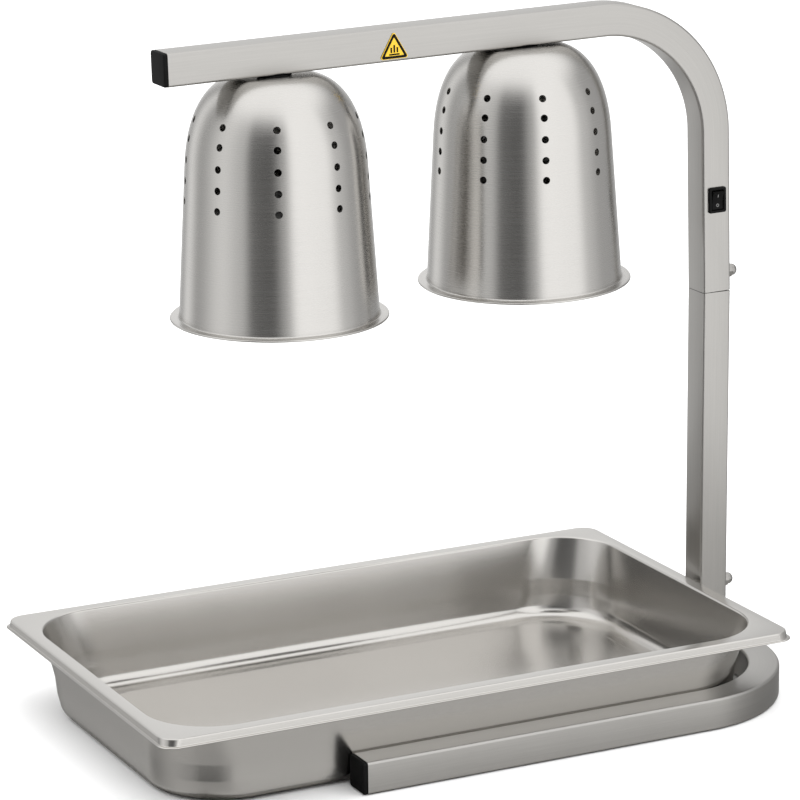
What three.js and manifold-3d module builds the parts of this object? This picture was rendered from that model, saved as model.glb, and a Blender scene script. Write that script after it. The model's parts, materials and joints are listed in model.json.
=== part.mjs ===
// Two-lamp infrared food warmer: a U-shaped square-tube base, a bolted column with a bent arm,
// two spun shades with infrared lamps, and a 1/1 gastronorm pan standing between the legs.
// Millimetres, +Z up. X runs along the pan, Y across it; the column stands at the +X end.

import * as THREE from 'three';
import { mergeGeometries, mergeVertices } from 'three/addons/utils/BufferGeometryUtils.js';
import Module from 'manifold-3d';

const wasm = await Module();
wasm.setup();

// ---------------------------------------------------------------- driving dimensions

const GAP = 0.3;                    // clearance between pieces that touch

const TUBE = 25;                    // square tube, outside
const WALL = 1.5;
const TUBE_CORNER = 2;
const BASE_BEND_RADIUS = 95;        // to the tube's centre line
const ARM_BEND_RADIUS = 98;

const PAN_LENGTH = 530;
const PAN_WIDTH = 325;
const PAN_HEIGHT = 65;
const PAN_SHEET = 0.9;

const BASE_WIDTH = 340;             // over both legs
const LEG_END_X = -107;             // open end of the legs, from the pan's middle
const COLUMN_X = 281.2;             // centre line of the column, from the pan's middle

const SEAM_Z = 301.6;               // top of the lower column
const ARM_Z = 528.4;                // centre line of the arm
const ARM_END_X = -180;             // open end of the arm
const LEAN = THREE.MathUtils.degToRad(1.2);   // how far the upper section sags on its joiner

const JOINER = 20;                  // square tube inside the column at both joints
const JOINER_WALL = 1.5;
const LOWER_NUT_Z = 57.7;
const UPPER_NUT_Z = 315;
const STUD_RADIUS = 3;
const CAP_NUT_FLATS = 10;
const CAP_NUT_HEIGHT = 10.6;
const WASHER_THICKNESS = 1;

// Each lamp's place along the arm, the gap between the arm and its shade's crown, and in degrees
// how far it hangs out of square along and across the arm and where its ring of vents starts.
const LAMPS = [
  { side: 'left', x: -90.5, gap: 1.8, tilt: 0.8, lean: 0.3, ventTurn: -113.4 },
  { side: 'right', x: 116.3, gap: 1, tilt: 0, lean: 0.9, ventTurn: -103.4 },
];
const SHADE_TOP = 1.5;              // crown of the shade in the drops below
const SHADE_TOP_RADIUS = 33;
const SHOULDER_DROP = 68;
const SHOULDER_RADIUS = 68.3;
const SHADE_DROP = 183;             // to the turned-out rim
const SHADE_FOOT_RADIUS = 75.4;
const RIM_RADIUS = 82.5;
const SHADE_SHEET = 1;
const VENT_RADIUS = 2.8;
const VENT_COLUMNS = 9;
const VENT_ROWS = 5;
const VENT_FIRST_DROP = 31.6;
const VENT_PITCH = 15.1;

const NIPPLE_RADIUS = 5;
const NIPPLE_BORE = 3.2;
const HOLDER_DROP = 2.8;            // top of the lampholder below the arm
const HOLDER_LENGTH = 46;
const BULB_DROP = 16;               // contact end of the bulb below the arm
const BULB_LENGTH = 134;
const BULB_RADIUS = 60.5;
const BULB_GLASS = 2;
const BULB_NECK_RADIUS = 13.9;

const SWITCH_Z = 376.4;
const SWITCH_BEZEL = [15.6, 20.4];
const SWITCH_BODY = [12.9, 18.4];
const SWITCH_DEPTH = 15;
const ROCKER_REST = THREE.MathUtils.degToRad(8.4);

const INLET_Z = 348;
const INLET_BORE = 3.8;

const LABEL_X = 2.2;
const LABEL_SIDE = 24.2;
const LABEL_CORNER = 1.5;
const LABEL_THICK = 0.4;
const LABEL_DROP = 3.2;

// ---------------------------------------------------------------- materials

function steel(color, roughness) {
  return new THREE.MeshStandardMaterial({ color, roughness, metalness: 1 });
}

function plastic(color, roughness) {
  return new THREE.MeshStandardMaterial({ color, roughness, metalness: 0 });
}

const MATERIALS = {
  tube: steel(0xb9b8b4, 0.38),
  shade: steel(0xc4c2be, 0.3),
  pan: steel(0xbdbbb6, 0.28),
  fastener: steel(0xa9a8a5, 0.3),
  brass: steel(0xc9a24b, 0.35),
  joiner: steel(0x9d9d9b, 0.5),
  blackPlastic: plastic(0x121212, 0.5),
  switchPlastic: plastic(0x161616, 0.35),
  ceramic: plastic(0xf1ede4, 0.35),
  glass: plastic(0xd9dcdc, 0.12),
  label: plastic(0xf2b411, 0.4),
  blockPlastic: plastic(0xe9e6da, 0.55),
  wire: plastic(0x4a4f57, 0.6),
};

// ---------------------------------------------------------------- solids

// Leaves only shared positions, so that a geometry is a closed body.
function bare(geometry) {
  const plain = geometry.clone();
  plain.deleteAttribute('normal');
  plain.deleteAttribute('uv');
  return mergeVertices(plain, 1e-4);
}

function solid(geometry) {
  const plain = bare(geometry);
  const vertProperties = new Float32Array(plain.attributes.position.array);
  const triVerts = new Uint32Array(plain.index.array);
  return new wasm.Manifold(new wasm.Mesh({ numProp: 3, vertProperties, triVerts }));
}

function geometryOf(manifold) {
  const mesh = manifold.getMesh();
  const geometry = new THREE.BufferGeometry();
  geometry.setAttribute('position', new THREE.BufferAttribute(mesh.vertProperties, 3));
  geometry.setIndex(new THREE.BufferAttribute(mesh.triVerts, 1));
  return geometry;
}

function cut(geometry, tools) {
  let result = solid(geometry);
  for (const tool of tools) result = result.subtract(solid(tool));
  return geometryOf(result);
}

function join(parts) {
  let result = solid(parts[0]);
  for (const part of parts.slice(1)) result = result.add(solid(part));
  return geometryOf(result);
}

function box(width, depth, height, x = 0, y = 0, z = 0) {
  return new THREE.BoxGeometry(width, depth, height).translate(x, y, z);
}

// A cylinder from one point to another.
function rod(radius, from, to, segments = 16) {
  const start = new THREE.Vector3(...from);
  const along = new THREE.Vector3(...to).sub(start);
  const turn = new THREE.Quaternion().setFromUnitVectors(
    new THREE.Vector3(0, 1, 0), along.clone().normalize());
  const middle = start.addScaledVector(along, 0.5);
  return new THREE.CylinderGeometry(radius, radius, along.length(), segments)
    .applyQuaternion(turn)
    .translate(middle.x, middle.y, middle.z);
}

// A lathe turned about +Z. The profile holds [radius, z] pairs and starts and ends on the axis,
// or closes on itself.
function turned(profile, segments) {
  const points = profile.map(([radius, z]) => new THREE.Vector2(radius, z));
  return new THREE.LatheGeometry(points, segments).rotateX(Math.PI / 2);
}

function roundedRectangle(halfLength, halfWidth, radius, cornerSteps) {
  const points = [];
  const corners = [[1, 1], [-1, 1], [-1, -1], [1, -1]];
  corners.forEach(([sx, sy], quarter) => {
    for (let step = 0; step <= cornerSteps; step += 1) {
      const angle = (quarter + step / cornerSteps) * Math.PI / 2;
      points.push(new THREE.Vector2(
        sx * (halfLength - radius) + radius * Math.cos(angle),
        sy * (halfWidth - radius) + radius * Math.sin(angle)));
    }
  });
  return points;
}

// A closed body through a stack of rounded rectangles, each [halfLength, halfWidth, radius, z].
// The first and last rings are closed by flat faces.
function loft(rings, cornerSteps = 4) {
  const outlines = rings.map(([a, b, r]) => roundedRectangle(a, b, r, cornerSteps));
  const count = outlines[0].length;
  const positions = [];
  outlines.forEach((outline, level) => {
    outline.forEach((point) => positions.push(point.x, point.y, rings[level][3]));
  });
  const index = [];
  for (let level = 0; level + 1 < rings.length; level += 1) {
    for (let i = 0; i < count; i += 1) {
      const a = level * count + i;
      const b = level * count + (i + 1) % count;
      index.push(a, b, b + count, a, b + count, a + count);
    }
  }
  const last = (rings.length - 1) * count;
  for (let i = 1; i + 1 < count; i += 1) {
    index.push(0, i + 1, i);
    index.push(last, last + i, last + i + 1);
  }
  const geometry = new THREE.BufferGeometry();
  geometry.setAttribute('position', new THREE.Float32BufferAttribute(positions, 3));
  geometry.setIndex(index);
  return geometry;
}

// ---------------------------------------------------------------- bent tube

// A path of straight stretches and quarter bends. Each straight is one step and each bend takes
// BEND_STEPS, so a tube swept along it has no idle rings.
const BEND_STEPS = 10;

class BentPath extends THREE.Curve {
  constructor(start, direction) {
    super();
    this.places = [new THREE.Vector3(...start)];
    this.tangents = [new THREE.Vector3(...direction)];
  }

  straight(length) {
    const tangent = this.tangents.at(-1);
    this.places.push(this.places.at(-1).clone().addScaledVector(tangent, length));
    this.tangents.push(tangent.clone());
    return this;
  }

  bend(towards, radius) {
    const tangent = this.tangents.at(-1).clone();
    const side = new THREE.Vector3(...towards);
    const centre = this.places.at(-1).clone().addScaledVector(side, radius);
    for (let step = 1; step <= BEND_STEPS; step += 1) {
      const angle = (step / BEND_STEPS) * Math.PI / 2;
      this.places.push(centre.clone()
        .addScaledVector(side, -radius * Math.cos(angle))
        .addScaledVector(tangent, radius * Math.sin(angle)));
      this.tangents.push(tangent.clone().multiplyScalar(Math.cos(angle))
        .addScaledVector(side, Math.sin(angle)));
    }
    return this;
  }

  get steps() {
    return this.places.length - 1;
  }

  getPoint(t, target = new THREE.Vector3()) {
    const place = Math.round(t * this.steps);
    return target.copy(this.places[place]);
  }

  getTangent(t, target = new THREE.Vector3()) {
    return target.copy(this.tangents[Math.round(t * this.steps)]).normalize();
  }

  getUtoTmapping(u) {
    return u;
  }
}

function tubeSection() {
  const shape = new THREE.Shape(roundedRectangle(TUBE / 2, TUBE / 2, TUBE_CORNER, 2));
  const inner = TUBE / 2 - WALL;
  shape.holes.push(new THREE.Path(roundedRectangle(inner, inner, 0.6, 1)));
  return shape;
}

function sweptTube(path) {
  return new THREE.ExtrudeGeometry(tubeSection(), {
    steps: path.steps,
    extrudePath: path,
  });
}

// A black push-in end cap along +Z: a ribbed plug and a chamfered plate that covers the tube.
function endCap() {
  const face = TUBE / 2 - 0.1;
  const plug = TUBE / 2 - WALL - GAP;
  const rings = [[plug - 0.9, plug - 0.9, 1, -14]];
  for (const z of [-12.5, -9.5, -6.5, -3.5]) {
    rings.push([plug, plug, 1, z - 0.8]);
    rings.push([plug, plug, 1, z + 0.4]);
    rings.push([plug - 0.7, plug - 0.7, 1, z + 0.9]);
  }
  rings.push([plug - 0.7, plug - 0.7, 1, GAP]);
  rings.push([face, face, TUBE_CORNER, GAP]);
  rings.push([face, face, TUBE_CORNER, 2.6]);
  rings.push([face - 1.1, face - 1.1, TUBE_CORNER - 0.8, 3.7]);
  return loft(rings, 2);
}

// ---------------------------------------------------------------- scene graph

const unit = new THREE.Group();
const upper = new THREE.Group();
upper.position.set(COLUMN_X, 0, SEAM_Z);
upper.rotation.y = -LEAN;
unit.add(upper);

function add(parent, name, geometry, material) {
  const mesh = new THREE.Mesh(bare(geometry), MATERIALS[material].clone());
  mesh.name = name;
  parent.add(mesh);
  return mesh;
}

// ---------------------------------------------------------------- base

function buildBase() {
  const legY = BASE_WIDTH / 2 - TUBE / 2;
  const cornerX = COLUMN_X - BASE_BEND_RADIUS;
  const path = new BentPath([LEG_END_X, -legY, TUBE / 2], [1, 0, 0])
    .straight(cornerX - LEG_END_X)
    .bend([0, 1, 0], BASE_BEND_RADIUS)
    .straight(2 * (legY - BASE_BEND_RADIUS))
    .bend([-1, 0, 0], BASE_BEND_RADIUS)
    .straight(cornerX - LEG_END_X);
  add(unit, 'base_tube', sweptTube(path), 'tube');

  for (const [name, side] of [['base_cap_front', -1], ['base_cap_rear', 1]]) {
    const cap = add(unit, name, endCap(), 'blackPlastic');
    cap.rotation.y = -Math.PI / 2;
    cap.position.set(LEG_END_X, side * legY, TUBE / 2);
  }
}

// ---------------------------------------------------------------- column joints

// A square joiner tube with a clearance hole for its stud in the +X wall.
function joinerTube(bottom, top, studZ) {
  const half = JOINER / 2;
  const shape = new THREE.Shape(roundedRectangle(half, half, 1.5, 2));
  const inner = half - JOINER_WALL;
  shape.holes.push(new THREE.Path(roundedRectangle(inner, inner, 0.4, 1)));
  const tube = new THREE.ExtrudeGeometry(shape, { depth: top - bottom, bevelEnabled: false })
    .translate(0, 0, bottom);
  return cut(tube, [rod(STUD_RADIUS + 0.5, [2, 0, studZ], [14, 0, studZ])]);
}

function capNut() {
  const hexHeight = 5.2;
  const corner = CAP_NUT_FLATS / Math.sqrt(3);
  const hex = new THREE.CylinderGeometry(corner, corner, hexHeight, 6)
    .rotateX(Math.PI / 2)
    .translate(0, 0, hexHeight / 2);
  const domeRadius = 4.9;
  const profile = [[0, 0], [domeRadius, 0], [domeRadius, 7]];
  for (let step = 1; step < 5; step += 1) {
    const angle = (step / 5) * Math.PI / 2;
    profile.push([domeRadius * Math.cos(angle), 7 + (CAP_NUT_HEIGHT - 7) * Math.sin(angle)]);
  }
  profile.push([0, CAP_NUT_HEIGHT]);
  const body = join([hex, turned(profile, 14)]);
  return cut(body, [rod(STUD_RADIUS + GAP, [0, 0, -1], [0, 0, 7.5])]);
}

// Stud, weld nut, washer and cap nut at one joint, pointing out along +X from the tube's face.
function addFastening(parent, place, z) {
  const face = TUBE / 2;
  const washerStart = face + GAP;
  const nutStart = washerStart + WASHER_THICKNESS + GAP;
  const weldNutFace = JOINER / 2 - JOINER_WALL - GAP;
  const at = (mesh) => mesh.position.setZ(z);

  const stud = rod(STUD_RADIUS, [weldNutFace - 6, 0, 0], [nutStart + 6.8, 0, 0]);
  at(add(parent, `${place}_stud`, stud, 'fastener'));

  const weldNut = cut(box(5, 10, 10, weldNutFace - 2.5),
    [rod(STUD_RADIUS + GAP, [weldNutFace - 9, 0, 0], [weldNutFace + 2, 0, 0])]);
  at(add(parent, `${place}_weld_nut`, weldNut, 'fastener'));

  const washer = cut(rod(5.7, [washerStart, 0, 0], [washerStart + WASHER_THICKNESS, 0, 0], 24),
    [rod(STUD_RADIUS + GAP, [face, 0, 0], [face + 4, 0, 0])]);
  at(add(parent, `${place}_washer`, washer, 'fastener'));

  const nut = capNut().rotateY(Math.PI / 2).translate(nutStart, 0, 0);
  at(add(parent, `${place}_cap_nut`, nut, 'fastener'));
}

function buildColumn() {
  const column = new THREE.Group();
  column.position.x = COLUMN_X;
  unit.add(column);

  const bottom = TUBE + GAP;
  const studHole = rod(STUD_RADIUS + GAP, [8, 0, LOWER_NUT_Z], [16, 0, LOWER_NUT_Z]);
  const tube = new THREE.ExtrudeGeometry(tubeSection(),
    { depth: SEAM_Z - bottom, bevelEnabled: false }).translate(0, 0, bottom);
  add(column, 'lower_column', cut(tube, [studHole]), 'tube');
  add(column, 'base_joiner', joinerTube(bottom, 88, LOWER_NUT_Z), 'joiner');
  addFastening(column, 'lower', LOWER_NUT_Z);
}

// The joiner between the two column sections takes half the lean.
function buildColumnJoint() {
  const middle = new THREE.Group();
  middle.position.set(COLUMN_X, 0, SEAM_Z);
  middle.rotation.y = -LEAN / 2;
  unit.add(middle);
  const studZ = UPPER_NUT_Z - SEAM_Z;
  add(middle, 'column_joiner', joinerTube(-30, 30, studZ), 'joiner');
  addFastening(upper, 'upper', studZ);
}

// ---------------------------------------------------------------- arm

const ARM_DROP = TUBE / 2;          // from the arm's centre line to its underside

function lampPlace(x) {
  return new THREE.Vector3(x - COLUMN_X, 0, ARM_Z - SEAM_Z - ARM_DROP);
}

function buildArm() {
  const armHeight = ARM_Z - SEAM_Z;
  const start = 0.65;
  const path = new BentPath([0, 0, start], [0, 0, 1])
    .straight(armHeight - ARM_BEND_RADIUS - start)
    .bend([-1, 0, 0], ARM_BEND_RADIUS)
    .straight(COLUMN_X - ARM_BEND_RADIUS - ARM_END_X);

  const switchZ = SWITCH_Z - SEAM_Z;
  const inletZ = INLET_Z - SEAM_Z;
  const studZ = UPPER_NUT_Z - SEAM_Z;
  const [bodyWidth, bodyHeight] = SWITCH_BODY;
  const tools = [
    box(bodyWidth + 2 * GAP, 8, bodyHeight + 2 * GAP, 0, -TUBE / 2, switchZ),
    rod(5 + GAP, [0, 8, inletZ], [0, 16, inletZ], 20),
    rod(STUD_RADIUS + GAP, [8, 0, studZ], [16, 0, studZ]),
  ];
  for (const lamp of LAMPS) {
    const place = lampPlace(lamp.x);
    tools.push(rod(NIPPLE_RADIUS + GAP, [place.x, 0, place.z - 4], [place.x, 0, place.z + 4]));
  }
  add(upper, 'arm_tube', cut(sweptTube(path), tools), 'tube');

  const cap = add(upper, 'arm_cap', endCap(), 'blackPlastic');
  cap.rotation.y = -Math.PI / 2;
  cap.position.set(ARM_END_X - COLUMN_X, 0, armHeight);
}

// A generic warning triangle stuck to the arm's front face.
function buildLabel() {
  const toCorner = LABEL_SIDE / Math.sqrt(3) - 2 * LABEL_CORNER;
  const outline = [];
  for (let corner = 0; corner < 3; corner += 1) {
    const middle = Math.PI / 2 + corner * 2 * Math.PI / 3;
    for (let step = -3; step <= 3; step += 1) {
      const angle = middle + (step / 3) * Math.PI / 3;
      outline.push(new THREE.Vector2(
        toCorner * Math.cos(middle) + LABEL_CORNER * Math.cos(angle),
        toCorner * Math.sin(middle) + LABEL_CORNER * Math.sin(angle)));
    }
  }
  const plate = new THREE.ExtrudeGeometry(new THREE.Shape(outline),
    { depth: LABEL_THICK, bevelEnabled: false });
  const label = add(upper, 'heat_label', plate, 'label');
  label.rotation.x = Math.PI / 2;
  label.position.set(LABEL_X - COLUMN_X, -TUBE / 2 - GAP, ARM_Z - SEAM_Z - LABEL_DROP);
}

// ---------------------------------------------------------------- rocker switch

function buildSwitch() {
  const panel = new THREE.Group();
  panel.position.set(0, -TUBE / 2, SWITCH_Z - SEAM_Z);
  panel.rotation.x = Math.PI / 2;     // local +Z now points out of the front face
  upper.add(panel);

  const [bezelWidth, bezelHeight] = SWITCH_BEZEL.map((size) => size / 2);
  const [bodyWidth, bodyHeight] = SWITCH_BODY.map((size) => size / 2);
  const proud = 2;
  const housing = loft([
    [bodyWidth, bodyHeight, 0.8, -SWITCH_DEPTH],
    [bodyWidth, bodyHeight, 0.8, GAP],
    [bezelWidth, bezelHeight, 1.5, GAP],
    [bezelWidth, bezelHeight, 1.5, proud - 0.8],
    [bezelWidth - 0.7, bezelHeight - 0.7, 1.2, proud],
  ], 3);
  const pocketWidth = 10.4;
  const pocketHeight = 15.8;
  const pocketDepth = 8.5;
  const pocket = box(pocketWidth, pocketHeight, pocketDepth + 4, 0, 0, (4 - pocketDepth) / 2);
  const pinHole = rod(0.9 + GAP, [-5.9, 0, 0], [5.9, 0, 0], 12);
  add(panel, 'switch_housing', cut(housing, [pocket, pinHole]), 'switchPlastic');

  // Rocker outline in its own plane: a shallow vee outside, round ends about the pivot.
  const reach = 7.4;
  const upAngle = THREE.MathUtils.degToRad(20);
  const downAngle = THREE.MathUtils.degToRad(15);
  const outline = [new THREE.Vector2(0, 1.5)];
  for (const side of [1, -1]) {
    for (let step = 0; step <= 4; step += 1) {
      const part = side > 0 ? step / 4 : 1 - step / 4;
      const angle = upAngle - part * (upAngle + downAngle);
      outline.push(new THREE.Vector2(side * reach * Math.cos(angle), reach * Math.sin(angle)));
    }
    if (side > 0) outline.push(new THREE.Vector2(0, -4.6));
  }
  const rockerWidth = 9.6;
  const body = new THREE.ExtrudeGeometry(new THREE.Shape(outline.reverse()),
    { depth: rockerWidth, bevelEnabled: false })
    .translate(0, 0, -rockerWidth / 2)
    .rotateX(Math.PI / 2)
    .rotateZ(Math.PI / 2);
  const bore = rod(0.9 + GAP, [-8, 0, 0], [8, 0, 0], 12);
  const rocker = add(panel, 'switch_rocker', cut(body, [bore]), 'switchPlastic');
  rocker.rotation.x = ROCKER_REST;

  add(panel, 'switch_pin', rod(0.9, [-5.6, 0, 0], [5.6, 0, 0], 12), 'fastener');

  const tabs = [['switch_tab_line', 5.4], ['switch_tab_lamps', -5.4]];
  for (const [name, y] of tabs) {
    const tab = box(4.8, 0.8, 6.6, 0, y, -SWITCH_DEPTH - GAP - 3.3);
    const holeZ = -SWITCH_DEPTH - 5;
    const hole = rod(0.8, [0, y - 2, holeZ], [0, y + 2, holeZ], 8);
    add(panel, name, cut(tab, [hole]), 'brass');
  }
}

// ---------------------------------------------------------------- cable inlet and wiring

function buildInlet() {
  const inlet = new THREE.Group();
  inlet.position.set(0, TUBE / 2, INLET_Z - SEAM_Z);
  inlet.rotation.x = -Math.PI / 2;    // local +Z points out of the rear face
  upper.add(inlet);
  const gland = turned([
    [INLET_BORE, -7], [5, -7], [5, GAP], [6.4, GAP],
    [6.4, 3], [5.4, 9], [INLET_BORE, 9], [INLET_BORE, -7],
  ], 20);
  add(inlet, 'cable_gland', gland, 'blackPlastic');
  const hexCorner = 7.5;
  const nut = cut(new THREE.CylinderGeometry(hexCorner, hexCorner, 3, 6).rotateX(Math.PI / 2),
    [rod(5 + GAP, [0, 0, -3], [0, 0, 3], 20)]);
  add(inlet, 'gland_nut', nut, 'blackPlastic').position.z = -WALL - GAP - 1.5;
}

function wireAlong(points, radius, steps) {
  const curve = new THREE.CatmullRomCurve3(points.map((p) => new THREE.Vector3(...p)));
  const section = new THREE.Shape();
  section.absarc(0, 0, radius, 0, 2 * Math.PI);
  return new THREE.ExtrudeGeometry(section, { steps, extrudePath: curve, curveSegments: 3 });
}

function buildWiring() {
  const blockZ = 412 - SEAM_Z;
  const block = box(17, 10, 12, 0, 5, blockZ);
  const ways = [-5.6, 0, 5.6];
  const bores = ways.map((x) => rod(1.9, [x, 5, blockZ - 9], [x, 5, blockZ + 9], 10));
  add(upper, 'terminal_block', cut(block, bores), 'blockPlastic');

  const switchZ = SWITCH_Z - SEAM_Z;
  const back = SWITCH_DEPTH - TUBE / 2 + 3.4;
  const leadPoints = [
    [0, back, switchZ + 9.4], [0, back - 1, switchZ + 14], [-2, 5, blockZ - 16],
    [-5.6, 5, blockZ - 9], [-5.6, 5, blockZ - 3],
  ];
  add(upper, 'switch_lead', wireAlong(leadPoints, 1.1, 12), 'wire');

  // One twin lead to each lamp: up the column, round the bend, along the arm and down a nipple.
  const armZ = ARM_Z - SEAM_Z;
  const inBend = (part, y) => [
    -ARM_BEND_RADIUS * (1 - Math.cos(part * Math.PI / 2)), y,
    armZ - ARM_BEND_RADIUS * (1 - Math.sin(part * Math.PI / 2)),
  ];
  const drop = armZ - TUBE / 2 - HOLDER_DROP - 9;
  const leadWays = [[0, 4.6], [5.6, -4.6]];
  LAMPS.forEach((lamp, i) => {
    const [blockX, y] = leadWays[i];
    const x = lamp.x - COLUMN_X;
    const points = [
      [blockX, 5, blockZ + 3], [blockX, 5, blockZ + 12], [blockX / 2, y, armZ - ARM_BEND_RADIUS],
      inBend(1 / 3, y), inBend(2 / 3, y), [-ARM_BEND_RADIUS, y, armZ + 2],
      [x + 26, y, armZ + 2], [x + 9, y * 0.5, armZ + 3],
      [x + 1.2, 0, armZ], [x, 0, armZ - 5], [x, 0, armZ - 11], [x, 0, drop],
    ];
    add(upper, `${lamp.side}_lamp_lead`, wireAlong(points, 1.5, 26), 'wire');
  });
}

// ---------------------------------------------------------------- lamps

// A line of [radius, drop] points moved towards the axis by a sheet's thickness.
function insideOf(outside, thickness) {
  return outside.map(([radius, drop], i) => {
    const [r0, d0] = outside[Math.max(0, i - 1)];
    const [r1, d1] = outside[Math.min(outside.length - 1, i + 1)];
    const length = Math.hypot(r1 - r0, d1 - d0);
    const inner = radius - thickness * (d1 - d0) / length;
    return [Math.max(0, inner), drop + thickness * (r1 - r0) / length];
  });
}

// The shade's outer face as [radius, drop] from the crown to the foot of the flange.
function shadeOutline(steps) {
  const slope = (SHADE_FOOT_RADIUS - SHOULDER_RADIUS) / (SHADE_DROP - SHOULDER_DROP);
  const pull = 62;
  const dome = new THREE.CubicBezierCurve(
    new THREE.Vector2(SHADE_TOP_RADIUS - 4, SHADE_TOP),
    new THREE.Vector2(SHADE_TOP_RADIUS, SHADE_TOP),
    new THREE.Vector2(SHOULDER_RADIUS - pull * slope, SHOULDER_DROP - pull),
    new THREE.Vector2(SHOULDER_RADIUS, SHOULDER_DROP));
  const points = dome.getPoints(steps).map((point) => [point.x, point.y]);
  points.push([SHADE_FOOT_RADIUS, SHADE_DROP]);
  return points;
}

function buildShade(turnDegrees) {
  const outside = shadeOutline(7);
  const inside = insideOf(outside, SHADE_SHEET);
  const bore = NIPPLE_RADIUS + 2 * GAP;
  const profile = [
    [bore, SHADE_TOP],
    ...outside,
    [RIM_RADIUS - 0.75, SHADE_DROP + 0.1],
    [RIM_RADIUS - 0.1, SHADE_DROP + 0.45],
    [RIM_RADIUS, SHADE_DROP + 1],
    [RIM_RADIUS - 0.75, SHADE_DROP + 1.6],
    [RIM_RADIUS - 1.7, SHADE_DROP + 1.1],
    [SHADE_FOOT_RADIUS, SHADE_DROP + SHADE_SHEET],
    ...inside.slice(0, -1).reverse(),
    [bore, SHADE_TOP + SHADE_SHEET],
    [bore, SHADE_TOP],
  ].map(([radius, drop]) => [radius, -drop]);
  profile.reverse();
  // Facets are set so that each column of vents falls in the middle of one.
  const facets = 4 * VENT_COLUMNS;
  const facetTurn = THREE.MathUtils.degToRad(turnDegrees) - Math.PI / facets;
  const shell = turned(profile, facets).rotateZ(facetTurn);

  const vents = [];
  for (let column = 0; column < VENT_COLUMNS; column += 1) {
    const angle = THREE.MathUtils.degToRad(turnDegrees + column * 360 / VENT_COLUMNS);
    const out = [Math.cos(angle), Math.sin(angle)];
    for (let row = 0; row < VENT_ROWS; row += 1) {
      const drop = VENT_FIRST_DROP + row * VENT_PITCH;
      const rise = Math.max(0, 1 - drop / SHOULDER_DROP) * 0.9;
      const inner = 40;
      const outer = 78;
      vents.push(rod(VENT_RADIUS,
        [inner * out[0], inner * out[1], -drop - (60 - inner) * rise],
        [outer * out[0], outer * out[1], -drop + (outer - 60) * rise], 6));
    }
  }
  return cut(shell, vents);
}

// The bulb is a glass shell, open at its neck where the cap is cemented on.
function buildBulb() {
  const end = BULB_DROP + BULB_LENGTH;
  const neck = BULB_DROP + 27;
  const flare = new THREE.CubicBezierCurve(
    new THREE.Vector2(BULB_NECK_RADIUS, neck + 7), new THREE.Vector2(20, neck + 28),
    new THREE.Vector2(54, neck + 44), new THREE.Vector2(BULB_RADIUS, end - 26));
  const outside = [[BULB_NECK_RADIUS, neck], ...flare.getPoints(7).map((p) => [p.x, p.y])];
  outside.push([BULB_RADIUS, end - 14], [BULB_RADIUS - 4, end - 6], [BULB_RADIUS - 14, end - 3]);
  outside.push([30, end - 0.8], [0, end]);
  const profile = [...outside, ...insideOf(outside, BULB_GLASS).reverse(), outside[0]];
  return turned(profile.map(([radius, drop]) => [radius, -drop]).reverse(), 28);
}

function buildLamp({ side, x, gap, tilt, lean, ventTurn }) {
  const lamp = new THREE.Group();
  lamp.position.copy(lampPlace(x));
  lamp.rotation.order = 'YXZ';
  lamp.rotation.y = THREE.MathUtils.degToRad(tilt);
  lamp.rotation.x = THREE.MathUtils.degToRad(lean);
  upper.add(lamp);

  add(lamp, `${side}_shade`, buildShade(ventTurn), 'shade').position.z = SHADE_TOP - gap;

  // The spacer leaves room above it for the tilt and lean.
  const spacer = cut(rod(13, [0, 0, -gap + GAP], [0, 0, -GAP - 0.1], 20),
    [rod(NIPPLE_RADIUS + GAP, [0, 0, -4], [0, 0, 4])]);
  add(lamp, `${side}_spacer`, spacer, 'blackPlastic');

  const nipple = cut(rod(NIPPLE_RADIUS, [0, 0, -HOLDER_DROP - 8], [0, 0, WALL + 6], 20),
    [rod(NIPPLE_BORE, [0, 0, -40], [0, 0, 40], 12)]);
  add(lamp, `${side}_nipple`, nipple, 'brass');

  const nut = cut(new THREE.CylinderGeometry(8.5, 8.5, 3, 6).rotateX(Math.PI / 2),
    [rod(NIPPLE_RADIUS + GAP, [0, 0, -4], [0, 0, 4], 20)]);
  add(lamp, `${side}_nipple_nut`, nut, 'fastener').position.z = WALL + GAP + 1.5;

  // Lampholder: a porcelain cup with a threaded brass liner and a contact spring.
  const top = -HOLDER_DROP;
  const bottom = top - HOLDER_LENGTH;
  const linerRadius = 15.2;
  const nippleBore = NIPPLE_RADIUS + GAP;
  const cup = linerRadius + GAP;
  const body = turned([
    [nippleBore, top], [nippleBore, top - 10], [cup, top - 10], [cup, bottom],
    [20, bottom], [22, bottom + 3], [22, bottom + 12], [19.5, bottom + 16], [19.5, top - 8],
    [17, top - 3], [14, top], [nippleBore, top],
  ], 20);
  add(lamp, `${side}_lampholder`, body, 'ceramic');

  const linerBore = linerRadius - 0.9;
  const liner = turned([
    [linerBore, top - 15], [linerBore, bottom + 3], [linerRadius, bottom + 3],
    [linerRadius, top - 15], [linerBore, top - 15],
  ], 18);
  add(lamp, `${side}_screw_liner`, liner, 'brass');

  const contact = box(6, 3, 0.8, 7.8, 0, top - 11.6);
  add(lamp, `${side}_contact`, contact, 'brass');

  const capTop = -BULB_DROP;
  const capBottom = capTop - 26.4;
  const cap = turned([
    [0, capBottom], [13.6, capBottom], [13.6, capTop - 5], [11, capTop - 2.4], [4.6, capTop - 1.2],
    [4.6, capTop], [0, capTop],
  ], 18);
  add(lamp, `${side}_bulb_cap`, cap, 'brass');
  add(lamp, `${side}_bulb`, buildBulb(), 'glass');
}

// ---------------------------------------------------------------- pan

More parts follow.
